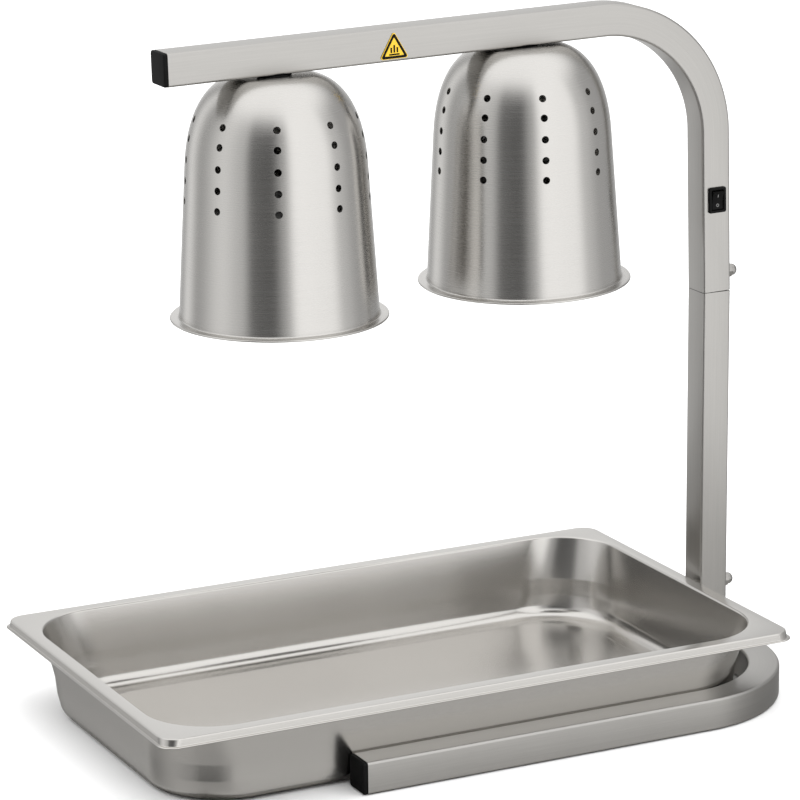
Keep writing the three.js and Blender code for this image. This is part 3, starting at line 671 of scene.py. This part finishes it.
def build_arm():
    """Upper column and arm, one tube, with the holes for the switch, inlet, bolt and lamps."""
    height = ARM_Z - SEAM_Z
    reach = COLUMN_X - ARM_BEND_RADIUS - ARM_END_X
    moves = [height - ARM_BEND_RADIUS - ARM_FOOT_RISE, (-1, 0, 0), reach]
    stations = bent_path((0, 0, ARM_FOOT_RISE), (0, 0, 1), moves, ARM_BEND_RADIUS)
    arm = tube_piece("bent_arm", stations, (0, 1, 0), UPPER, "arm_tube")
    half_x, half_y = SWITCH_BODY_X + GAP, SWITCH_BODY_Y + GAP
    opening = [(half_x, half_y, 0.9, -HOLE_DEPTH), (half_x, half_y, 0.9, HOLE_DEPTH)]
    window = cutter([loft(opening, 4)], switch_panel())
    holes = [
        wall_hole((0, 1), INLET_Z - SEAM_Z, INLET_HOLE_RADIUS),
        wall_hole((1, 0), UPPER_NUT_Z - SEAM_Z, STUD_HOLE_RADIUS),
    ]
    under = height - TUBE / 2
    for _, lamp_x, *_ in LAMPS:
        x = lamp_x - COLUMN_X
        holes.append(drill((x, 0, under - HOLE_DEPTH), (x, 0, under + HOLE_DEPTH), NIPPLE_HOLE_RADIUS))
    carve(arm, [window, cutter(holes, UPPER)])
    end_cap("arm_plug", UPPER @ shift(ARM_END_X - COLUMN_X, 0, height), "arm_cap")


# ---------------------------------------------------------------- cap nuts and washers


def build_fastening(place, matrix, z):
    """Washer and domed nut on the column's +X face."""
    outward = matrix @ shift(TUBE / 2, 0, z) @ Matrix.Rotation(math.pi / 2, 4, "Y")
    washer = [(STUD_HOLE_RADIUS, GAP), (5.5, GAP), (5.7, GAP + 0.15), (5.7, GAP + 0.85)]
    washer += [(5.5, GAP + 1), (STUD_HOLE_RADIUS, GAP + 1)]
    vertices, faces, uvs = lathe(washer[::-1], 48)
    make_piece(f"{place}_disc", vertices, faces, uvs, outward, "stand", "fastener_steel", [f"{place}_washer"])

    # Rows go from a hexagon at the foot to a round dome at the top.
    foot = GAP * 2 + 1
    flats = 5.0
    segments = 72

    def row(cap, z_of):
        points = []
        for j in range(segments):
            angle = 2 * math.pi * j / segments
            within = (angle + math.pi / 6) % (math.pi / 3) - math.pi / 6
            hexagon = flats / math.cos(within)
            radius = min(hexagon, cap)
            points.append((radius * math.cos(angle), radius * math.sin(angle), z_of(hexagon)))
        return points

    rows = [row(5.25, lambda reach: foot)]
    rows.append(row(6, lambda reach: foot + max(0.0, reach - 5.25) * 0.5))
    rows.append(row(6, lambda reach: foot + 5.2 - max(0.0, reach - 5.05) * 0.6))
    rows.append(row(4.95, lambda reach: foot + 5.25))
    rows.append(row(4.75, lambda reach: foot + 5.5))
    dome, dome_foot, dome_rise = 4.7, foot + 6.4, 4.2
    rows.append(ring(dome, dome_foot, segments))
    for step in range(1, 12):
        angle = step / 12 * math.pi / 2
        rows.append(ring(dome * math.cos(angle), dome_foot + dome_rise * math.sin(angle), segments))
    vertices, faces, uvs = grid(rows, caps=True)
    nut = make_piece(f"{place}_dome_nut", vertices, faces, uvs, outward, "stand", "fastener_steel",
                     [f"{place}_cap_nut"], sharp=28)
    bore = drill((0, 0, 0), (0, 0, foot + 7.5), STUD_HOLE_RADIUS)
    carve(nut, [cutter([bore], outward)])


# ---------------------------------------------------------------- shades


def shade_outline():
    """Outer face from the crown down to the rim, as (radius, drop)."""
    slope = (SHADE_FOOT_RADIUS - SHOULDER_RADIUS) / (SHADE_DROP - SHOULDER_DROP)
    pull = 62.0
    crown, crown_edge = Vector((SHADE_TOP_RADIUS - 4, SHADE_TOP)), Vector((SHADE_TOP_RADIUS, SHADE_TOP))
    above_shoulder = Vector((SHOULDER_RADIUS - pull * slope, SHOULDER_DROP - pull))
    shoulder = Vector((SHOULDER_RADIUS, SHOULDER_DROP))
    wall_foot = Vector((SHADE_FOOT_RADIUS, SHADE_DROP - CURL))
    points = [Vector((radius, SHADE_TOP)) for radius in (6.0, 14.0, 22.0)]
    points += bezier(crown, crown_edge, above_shoulder, shoulder, 26)
    points += [shoulder.lerp(wall_foot, step / 12) for step in range(1, 13)]
    # A tight curl turns the wall out into the flat rim flange.
    for step in range(1, 7):
        angle = step / 6 * math.pi / 2
        sideways, down = 1 - math.cos(angle), math.sin(angle) - 1
        points.append(Vector((SHADE_FOOT_RADIUS + CURL * sideways, SHADE_DROP + CURL * down)))
    points += [Vector((RIM_RADIUS - 3, SHADE_DROP + 0.05)), Vector((RIM_RADIUS - LIP, SHADE_DROP + 0.1))]
    return points


def vent_drills(turn_degrees):
    """Drills for the vents, level on the wall and tipped upwards on the shoulder."""
    drills = []
    for column in range(VENT_COLUMNS):
        angle = math.radians(turn_degrees + 360 / VENT_COLUMNS * column)
        out = Vector((math.cos(angle), math.sin(angle), 0))
        for row in range(VENT_ROWS):
            drop = VENT_FIRST_DROP + VENT_PITCH * row
            rise = max(0.0, 1 - drop / SHOULDER_DROP) * 0.9
            start = out * 40 + Vector((0, 0, -drop - 20 * rise))
            end = out * 78 + Vector((0, 0, -drop + 18 * rise))
            drills.append(drill(start, end, VENT_RADIUS, 28))
    return drills


def build_shade(side, matrix, turn_degrees):
    """Spun sheet with a rolled edge and its vents."""
    outside = shade_outline()
    inside = one_sheet_in(outside, SHADE_SHEET)
    # The edge is turned down into a small rounded lip.
    edge = outside[-1] + Vector((0, LIP))
    rim = []
    for step in range(1, 12):
        angle = -math.pi / 2 + step / 12 * 1.3 * math.pi
        rim.append(edge + Vector((math.cos(angle), math.sin(angle))) * LIP)
    loop = outside + rim + inside[::-1]
    profile = [(point.x, -point.y) for point in loop]
    vertices, faces, uvs = lathe(profile, 180)
    shade = make_piece(f"{side}_spun_shade", vertices, faces, uvs, matrix, "stand", "spun_shade",
                       [f"{side}_shade"], sharp=50)
    carve(shade, [cutter(vent_drills(turn_degrees), matrix)])


def bulb_outline():
    """Silvered outside of the reflector lamp as (radius, drop), neck first."""
    neck_radius = 13.9
    neck, below_neck = Vector((neck_radius, BULB_NECK_DROP + 7)), Vector((20, BULB_NECK_DROP + 28))
    shoulder, edge = Vector((54, BULB_NECK_DROP + 44)), Vector((BULB_RADIUS, BULB_END_DROP - 26))
    return [Vector((neck_radius, BULB_NECK_DROP))] + bezier(neck, below_neck, shoulder, edge, 24)


def build_lamp(side, x, gap, tilt_degrees, lean_degrees, turn_degrees):
    """Everything that hangs from the arm at one place: shade, spacer, lampholder and lamp."""
    under = ARM_Z - SEAM_Z - TUBE / 2
    lamp = UPPER @ shift(x - COLUMN_X, 0, under)
    lamp = lamp @ Matrix.Rotation(math.radians(tilt_degrees), 4, "Y")
    lamp = lamp @ Matrix.Rotation(math.radians(lean_degrees), 4, "X")
    build_shade(side, lamp @ shift(0, 0, SHADE_TOP - gap), turn_degrees)

    def turned(name, profile, slot, node, segments=64, material=None, sharp=32):
        vertices, faces, uvs = lathe([(radius, -drop) for radius, drop in profile], segments)
        make_piece(name, vertices, faces, uvs, lamp, "stand", slot, [node], material, sharp)

    head, foot, edge = 0.4, gap - GAP, 13
    bevel = (foot - head) / 4
    spacer = [(NIPPLE_HOLE_RADIUS, head), (edge - bevel, head), (edge, head + bevel)]
    spacer += [(edge, foot - bevel), (edge - bevel, foot), (NIPPLE_HOLE_RADIUS, foot)]
    turned(f"{side}_spacer_disc", spacer, "black_plastic", f"{side}_spacer")

    top, bottom = 2.8, 48.8
    cup = [(NIPPLE_HOLE_RADIUS, top), (13.6, top), (16.8, top + 2.6), (19.0, top + 6.6)]
    cup += [(19.5, top + 9), (19.5, bottom - 16.5), (20.2, bottom - 15), (21.6, bottom - 13)]
    cup += [(22, bottom - 11.5), (22, bottom - 3.5), (21.6, bottom - 2), (20.6, bottom - 0.6)]
    cup += [(19.4, bottom), (16.3, bottom), (15.6, bottom - 0.6), (15.5, bottom - 1.4)]
    cup += [(15.5, top + 10), (NIPPLE_HOLE_RADIUS, top + 10)]
    turned(f"{side}_porcelain_cup", cup, "porcelain", f"{side}_lampholder", 72)

    # Threaded liner and lamp cap: rolled round threads.
    liner_radius, liner_top, liner_foot = 14.5, top + 15, bottom - 3
    liner = [(15.2, liner_foot), (15.2, liner_top), (liner_radius, liner_top)]
    steps = 32
    for step in range(steps + 1):
        drop = liner_top + 0.6 + step * (liner_foot - liner_top - 1.2) / steps
        liner.append((liner_radius + 0.2 * math.sin(step * math.pi / 2), drop))
    liner.append((liner_radius, liner_foot))
    turned(f"{side}_thread_liner", liner, "brass", f"{side}_screw_liner")

    cap = [(0, 16.0), (3.2, 16.0), (4.6, 16.4), (4.6, 17.2), (10.6, 18.4), (13.0, 20.4)]
    for step in range(24):
        cap.append((13.25 + 0.3 * math.sin(step * math.pi / 2), 21.2 + step * 0.86))
    cap += [(13.5, 41.4), (13.5, 42.4), (0, 42.4)]
    turned(f"{side}_edison_cap", cap, "brass", f"{side}_bulb_cap", sharp=40)

    # Reflector lamp: silvered bowl in painted shade, a dark grey in place of bright silvering, and pressed
    # front glass, both hollow.
    outer = bulb_outline()
    bowl = [tuple(point) for point in outer + one_sheet_in(outer, BULB_SKIN)[::-1]]
    turned(f"{side}_reflector", bowl, "bulb_glass", f"{side}_bulb", 96, SILVERING_PAINTED_SHADE, 50)
    vertices, faces = lens_skin(*lens_faces())
    make_piece(f"{side}_front_glass", vertices, faces, None, lamp, "stand", "bulb_glass", sharp=50)


def lens_faces():
    """Outer and inner face of the lamp's front glass, from its rim to the axis, as (radius, drop)."""
    radius, end = BULB_RADIUS, BULB_END_DROP
    outer = [(radius - BULB_SKIN, end - 25.8), (radius, end - 25.8), (radius, end - 14)]
    outer += [(radius - 0.8, end - 10.5), (radius - 3, end - 7.2), (radius - 7, end - 4.8)]
    outer += [(radius - 14, end - 3), (30, end - 0.9), (14, end - 0.2), (0, end)]
    inner = [(radius - BULB_SKIN, end - 15), (radius - 2.4, end - 11.5), (radius - 4.4, end - 8.6)]
    inner += [(radius - 8, end - 6.8), (radius - 14.5, end - 5)]
    inner += [(30, end - 2.9), (14, end - 2.2), (0, end - 2)]
    return outer, inner


def lens_skin(outer, inner):
    """A dished disc from its two faces, each a line from the rim to the axis."""
    segments = 96
    loop = outer[:-1] + inner[-2::-1]
    vertices = []
    faces = []
    for radius, drop in loop:
        vertices += ring(radius, -drop, segments)
    outer_tip, inner_tip = len(vertices), len(vertices) + 1
    vertices += [(0, 0, -outer[-1][1]), (0, 0, -inner[-1][1])]

    last_outer = len(outer) - 2
    for i in range(len(loop)):
        here, there = i * segments, (i + 1) % len(loop) * segments
        for j in range(segments):
            k = (j + 1) % segments
            if i == last_outer:
                faces.append((here + j, here + k, outer_tip))
                faces.append((there + k, there + j, inner_tip))
            else:
                faces.append((here + j, here + k, there + k, there + j))
    return vertices, faces


# ---------------------------------------------------------------- switch, label, inlet


def switch_panel():
    """Frame of the switch: its origin on the column's front face, its z axis pointing out of it."""
    return UPPER @ shift(0, -TUBE / 2, SWITCH_Z - SEAM_Z) @ Matrix.Rotation(math.pi / 2, 4, "X")


def pin_bore(reach, matrix):
    return cutter([drill((-reach, 0, 0), (reach, 0, 0), PIN_RADIUS + GAP, 24)], matrix)


def build_switch():
    """Case with a rounded bezel round its pocket, and the rocker in it."""
    panel = switch_panel()
    foot, bezel_side, bezel_edge = -15.0, 1.1, 0.85
    stations = [(SWITCH_BODY_X - 0.4, SWITCH_BODY_Y - 0.4, 0.6, foot)]
    stations += [(SWITCH_BODY_X, SWITCH_BODY_Y, 0.9, z) for z in (foot + 0.4, GAP)]
    stations += [(BEZEL_X - 0.15, BEZEL_Y - 0.15, 1.4, GAP), (BEZEL_X, BEZEL_Y, 1.6, GAP + 0.15)]
    stations.append((BEZEL_X, BEZEL_Y, 1.6, bezel_side))
    for step in range(1, 5):
        angle = step / 4 * math.pi / 2
        inset = bezel_edge * (1 - math.cos(angle))
        z = bezel_side + bezel_edge * math.sin(angle)
        stations.append((BEZEL_X - inset, BEZEL_Y - inset, 1.6 - inset * 0.6, z))
    stations += [(5.75, 8.45, 0.7, 1.95), (5.45, 8.15, 0.6, 1.8)]
    stations += [(5.25, 7.95, 0.5, 1.4), (5.2, 7.9, 0.5, -8.5)]
    vertices, faces, uvs = grid(loft(stations, 5), caps=True)
    case = make_piece("switch_case", vertices, faces, uvs, panel, "stand", "switch_plastic",
                      ["switch_housing"])
    carve(case, [pin_bore(5.9, panel)])

    rest = panel @ Matrix.Rotation(ROCKER_REST, 4, "X")
    vertices, faces, uvs = grid(rocker_rows(), caps=True)
    key = make_piece("rocker_key", vertices, faces, uvs, rest, "rocker", "switch_plastic",
                     ["switch_rocker"], sharp=40)
    carve(key, [pin_bore(8, rest)])
    build_marks(rest)


def pad_height(y):
    """Height of the rocker's two dished pads at a distance from the valley between them."""
    along = abs(y) / PAD_REACH
    return PAD_VALLEY + (PAD_CREST - PAD_VALLEY) * along - PAD_DISH * math.sin(math.pi * along)


def rocker_rows():
    """The rocker's outline in the plane square to its pin, repeated across its width."""

    def on_circle(degrees):
        return [(ROCKER_REACH * math.cos(math.radians(d)), ROCKER_REACH * math.sin(math.radians(d)))
                for d in degrees]

    pads = 10
    ways = [PAD_REACH * (1 - step / pads) for step in range(2 * pads + 1)]
    outline = [(y, pad_height(y)) for y in ways]
    outline += on_circle((166, 173, 180, 187, 195))
    outline += [(-3.4, -3.4), (0, -4.6), (3.4, -3.4)]
    outline += on_circle((-15, -7, 0, 7, 14))

    # Both ends are drawn in a little, towards the middle, to round them off.
    middle = Vector((0, -1.0))
    edge = ((0, 0.28), (0.08, 0.1), (0.28, 0))
    sections = [(ROCKER_HALF - back, inset) for back, inset in edge]
    sections += [(back - ROCKER_HALF, inset) for back, inset in reversed(edge)]
    rows = []
    for x, inset in sections:
        row = []
        for point in (Vector(pair) for pair in outline):
            pulled = point - (point - middle).normalized() * inset
            row.append((x, pulled.x, pulled.y))
        rows.append(row)
    return rows


def build_marks(rest):
    """Bar and ring marks in light paint, each lying just above its dished pad."""

    def lying(outline, up):
        return [(x, y, pad_height(y) + MARK_GAP + up) for x, y in outline]

    def mark(name, skin):
        vertices, faces, uvs = skin
        make_piece(name, vertices, faces, uvs, rest, "rocker", "switch_plastic", [], MARK_PAINT, 60)

    bar = [(-0.3, 2.6), (0.3, 2.6), (0.3, 5.0), (-0.3, 5.0)]
    mark("mark_on", grid([lying(bar, 0), lying(bar, MARK_THICK)], caps=True))
    rows = []
    for radius, up in ((1.25, 0), (1.25, MARK_THICK), (0.75, MARK_THICK), (0.75, 0)):
        circle = [(x, y - 3.9) for x, y, _ in ring(radius, 0, 40)]
        rows.append(lying(circle, up))
    mark("mark_off", grid(rows, wrap_rows=True))


def triangle(side, radius, steps=8):
    """Points round an equilateral triangle with rounded corners, one corner at the top."""
    points = []
    reach = side / math.sqrt(3) - 2 * radius
    for corner in range(3):
        middle = math.pi / 2 + corner * 2 * math.pi / 3
        for step in range(-steps, steps + 1):
            angle = middle + step / steps * math.pi / 3
            points.append((reach * math.cos(middle) + radius * math.cos(angle),
                           reach * math.sin(middle) + radius * math.sin(angle)))
    return points


def build_label():
    """Yellow triangle with a dark border and three plain bars over a line."""
    x, z = LABEL_X - COLUMN_X, ARM_Z - SEAM_Z - LABEL_DROP
    place = UPPER @ shift(x, -TUBE / 2 - GAP, z) @ Matrix.Rotation(math.pi / 2, 4, "X")
    full = triangle(LABEL_SIDE, LABEL_CORNER)
    small = triangle(LABEL_SIDE - 0.3, LABEL_CORNER - 0.1)
    rows = [at_height(full, 0), at_height(full, LABEL_THICK - 0.08), at_height(small, LABEL_THICK)]
    vertices, faces, uvs = grid(rows, caps=True)
    make_piece("label_plate", vertices, faces, uvs, place, "stand", "label_film", ["heat_label"])

    ink_top = LABEL_THICK + INK_THICK
    wide, narrow = triangle(LABEL_SIDE - 1.4, 1.4), triangle(LABEL_SIDE - 8.0, 0.5)
    rows = [at_height(wide, LABEL_THICK), at_height(wide, ink_top)]
    rows += [at_height(narrow, ink_top), at_height(narrow, LABEL_THICK)]
    vertices, faces, uvs = grid(rows, wrap_rows=True)
    make_piece("label_border", vertices, faces, uvs, place, "stand", "label_film", [], LABEL_INK)

    # Each bar's middle and half size.
    bars = ((-2.5, -0.3, 0.7, 2.0), (0, 0.6, 0.7, 2.9), (2.5, -0.3, 0.7, 2.0), (0, -3.6, 4.4, 0.6))
    for number, (x, y, half_x, half_y) in enumerate(bars):
        outline = [(x + a, y + b) for a, b in rounded_square(half_x, half_y, 0.3, 3)]
        rows = [at_height(outline, LABEL_THICK), at_height(outline, ink_top)]
        vertices, faces, uvs = grid(rows, caps=True)
        make_piece(f"label_bar_{number}", vertices, faces, uvs, place, "stand", "label_film", [], LABEL_INK)


def build_inlet():
    """Cable gland on the rear face of the column, with its shank through the wall."""
    place = UPPER @ shift(0, TUBE / 2, INLET_Z - SEAM_Z) @ Matrix.Rotation(-math.pi / 2, 4, "X")
    gland = [(3.8, -7), (4.7, -7), (5, -6.7), (5, GAP), (6.2, GAP), (6.4, GAP + 0.2), (6.4, 2.8), (6.2, 3.2)]
    gland += [(5.9, 3.6), (5.8, 5.0), (5.4, 8.6), (5.1, 9.0), (4.2, 9.0), (3.8, 8.6)]
    vertices, faces, uvs = lathe(gland, 64)
    make_piece("inlet_gland", vertices, faces, uvs, place, "stand", "black_plastic", ["cable_gland"])


# ---------------------------------------------------------------- pan


def build_pan():
    """The pan's pressed sheet: its inner face down one side of a loop, its underside up the other."""
    top = fillet_path(PAN_PROFILE, 9)
    under = []
    for i, (inset, z, radius) in enumerate(top):
        before, after = top[max(0, i - 1)], top[min(len(top) - 1, i + 1)]
        way = Vector((after[0] - before[0], after[1] - before[1])).normalized()
        under.append((inset - way.y * PAN_SHEET, z + way.x * PAN_SHEET, radius + way.y * PAN_SHEET))
    rows = []
    for inset, z, radius in under + list(PAN_EDGE) + top[::-1]:
        outline = rounded_square(PAN_LENGTH / 2 - inset, PAN_WIDTH / 2 - inset, radius, 18)
        rows.append(at_height(outline, z))
    vertices, faces, uvs = grid(rows, caps=True)
    across_first = [(v, u) for u, v in uvs]
    make_piece("pressed_pan", vertices, faces, across_first, LOWER, "pan", "pan_steel",
               ["gastronorm_pan"], sharp=45)


# ---------------------------------------------------------------- assembly

build_base()
build_column()
build_arm()
build_fastening("lower", COLUMN, LOWER_NUT_Z)
build_fastening("upper", UPPER, UPPER_NUT_Z - SEAM_Z)
for lamp_row in LAMPS:
    build_lamp(*lamp_row)
build_switch()
build_label()
build_inlet()
build_pan()

# CAD nodes that stay get the finish of their slot.
slot_of = {part["node"]: part["material_slot"] for part in frame["record"]["subparts"]}
for node_name, node in frame["nodes"].items():
    node.data.materials.clear()
    node.data.materials.append(MATERIALS[slot_of[node_name]])


# ---------------------------------------------------------------- camera, floor and light


SENSOR_WIDTH = 36.0
FOCAL_LENGTH = 167.22
CAMERA_AZIMUTH = math.radians(-26.303)
CAMERA_ELEVATION = math.radians(14.9)
CAMERA_ROLL = math.radians(-0.57)
CAMERA_DISTANCE = 2852.3
# The point that the camera looks at, from the foot of the pan's middle.
CAMERA_TARGET = (5.94, 0, 245.2)

# Floor and table top, in metres.
FLOOR_REACH = 16.0
TABLE_REACH = 0.55
FLOOR_SINK = 0.0005
TABLE_GREY = (0.45, 0.445, 0.435)

# Brightness of the studio's walls, at angles in degrees, anticlockwise seen from above, starting
# from the wall straight behind the object as the camera sees it.
STUDIO_WALLS = (
    (0, 1.0), (30, 0.5), (50, 0.98), (72, 0.5), (112, 0.95), (138, 0.7), (152, 0.16), (176, 0.12),
    (190, 0.52), (204, 1.38), (246, 1.32), (264, 0.75), (288, 0.5), (330, 0.42), (350, 0.65), (360, 1.0),
)
STUDIO_CEILING = 1.35
# Sines of the elevations where the walls start to pass into the ceiling, and where they end.
WALLS_FADE = 0.45
CEILING_FULL = 0.85
SKY_POWER = 2.2
SKY_SPREAD = math.radians(120)


def build_camera():
    azimuth, elevation, roll = CAMERA_AZIMUTH, CAMERA_ELEVATION, CAMERA_ROLL
    target = PAN_CENTRE + Vector(CAMERA_TARGET) * MM
    back = Vector((math.sin(azimuth) * math.cos(elevation), -math.cos(azimuth) * math.cos(elevation),
                   math.sin(elevation)))
    right = (-back).cross(Vector((0, 0, 1))).normalized()
    up = right.cross(-back)
    rolled_right = right * math.cos(roll) + up * math.sin(roll)
    rolled_up = up * math.cos(roll) - right * math.sin(roll)
    data = bpy.data.cameras.new("camera")
    data.sensor_width = SENSOR_WIDTH
    data.lens = FOCAL_LENGTH
    data.clip_start = 0.05
    data.clip_end = 60
    camera = add_object("camera", data)
    turn = Matrix((rolled_right, rolled_up, back)).transposed().to_4x4()
    camera.matrix_world = Matrix.Translation(target + back * (CAMERA_DISTANCE * MM)) @ turn
    bpy.context.scene.camera = camera


def flat_stage(name, reach, shade):
    """A square sheet lying just below the object, for the stage and not for the part."""
    mesh = bpy.data.meshes.new(name)
    corners = [(-reach, -reach, 0), (reach, -reach, 0), (reach, reach, 0), (-reach, reach, 0)]
    mesh.from_pydata(corners, [], [(0, 1, 2, 3)])
    mesh.materials.append(shade.material)
    plane = add_object(name, mesh)
    plane.location.z = -FLOOR_SINK
    return plane


def build_floor():
    """A white floor, and a smaller, greyer table top that only shows in the metal."""
    white = Shader("floor", (0.9, 0.9, 0.9), 0.8, Specular_IOR_Level=0.1)
    floor = flat_stage("floor", FLOOR_REACH, white)
    floor.visible_glossy = False
    sheen = Shader("table_sheen", TABLE_GREY, 0.25, 0.92, Coat_Weight=0.5, Coat_Roughness=0.12)
    table = flat_stage("table_sheen", TABLE_REACH, sheen)
    table.visible_camera = False
    table.visible_diffuse = False
    table.visible_shadow = False


def build_world():
    """Soft studio that lights the object and shows in the metal. The camera sees plain white."""
    world = bpy.data.worlds.new("studio")
    world.use_nodes = True
    tree = world.node_tree
    back = tree.nodes["Background"]

    def node(kind, **settings):
        made = tree.nodes.new(kind)
        for key, value in settings.items():
            setattr(made, key, value)
        return made

    way = node("ShaderNodeTexCoord").outputs["Generated"]
    turn = node("ShaderNodeVectorRotate", rotation_type="Z_AXIS")
    turn.inputs["Angle"].default_value = -CAMERA_AZIMUTH + math.pi / 2
    tree.links.new(way, turn.inputs["Vector"])
    around = node("ShaderNodeTexGradient", gradient_type="RADIAL")
    tree.links.new(turn.outputs["Vector"], around.inputs["Vector"])
    walls = node("ShaderNodeValToRGB")
    walls.color_ramp.interpolation = "EASE"
    stops = walls.color_ramp.elements
    while len(stops) > 1:
        stops.remove(stops[-1])
    for i, (angle, bright) in enumerate(STUDIO_WALLS):
        stop = stops[0] if i == 0 else stops.new(angle / 360)
        stop.position = angle / 360
        stop.color = (bright, bright, bright, 1)
    tree.links.new(around.outputs["Fac"], walls.inputs["Fac"])

    height = node("ShaderNodeSeparateXYZ")
    tree.links.new(way, height.inputs["Vector"])
    up = node("ShaderNodeMapRange", interpolation_type="SMOOTHSTEP")
    up.inputs["From Min"].default_value = WALLS_FADE
    up.inputs["From Max"].default_value = CEILING_FULL
    tree.links.new(height.outputs["Z"], up.inputs["Value"])
    room = node("ShaderNodeMix", data_type="RGBA")
    tree.links.new(up.outputs["Result"], room.inputs["Factor"])
    tree.links.new(walls.outputs["Color"], room.inputs["A"])
    room.inputs["B"].default_value = (STUDIO_CEILING, STUDIO_CEILING, STUDIO_CEILING, 1)

    # The backdrop itself is plain white.
    seen = node("ShaderNodeLightPath")
    backdrop = node("ShaderNodeMix", data_type="RGBA")
    tree.links.new(seen.outputs["Is Camera Ray"], backdrop.inputs["Factor"])
    tree.links.new(room.outputs["Result"], backdrop.inputs["A"])
    backdrop.inputs["B"].default_value = (1, 1, 1, 1)
    tree.links.new(backdrop.outputs["Result"], back.inputs["Color"])
    bpy.context.scene.world = world


def build_light():
    """The studio's world, and a soft sky light that the metal doesn't mirror."""
    build_world()
    bpy.context.scene.view_settings.view_transform = "Standard"
    data = bpy.data.lights.new("skylight", "SUN")
    data.energy = SKY_POWER
    data.angle = SKY_SPREAD
    add_object("skylight", data).visible_glossy = False


build_camera()
build_floor()
build_light()
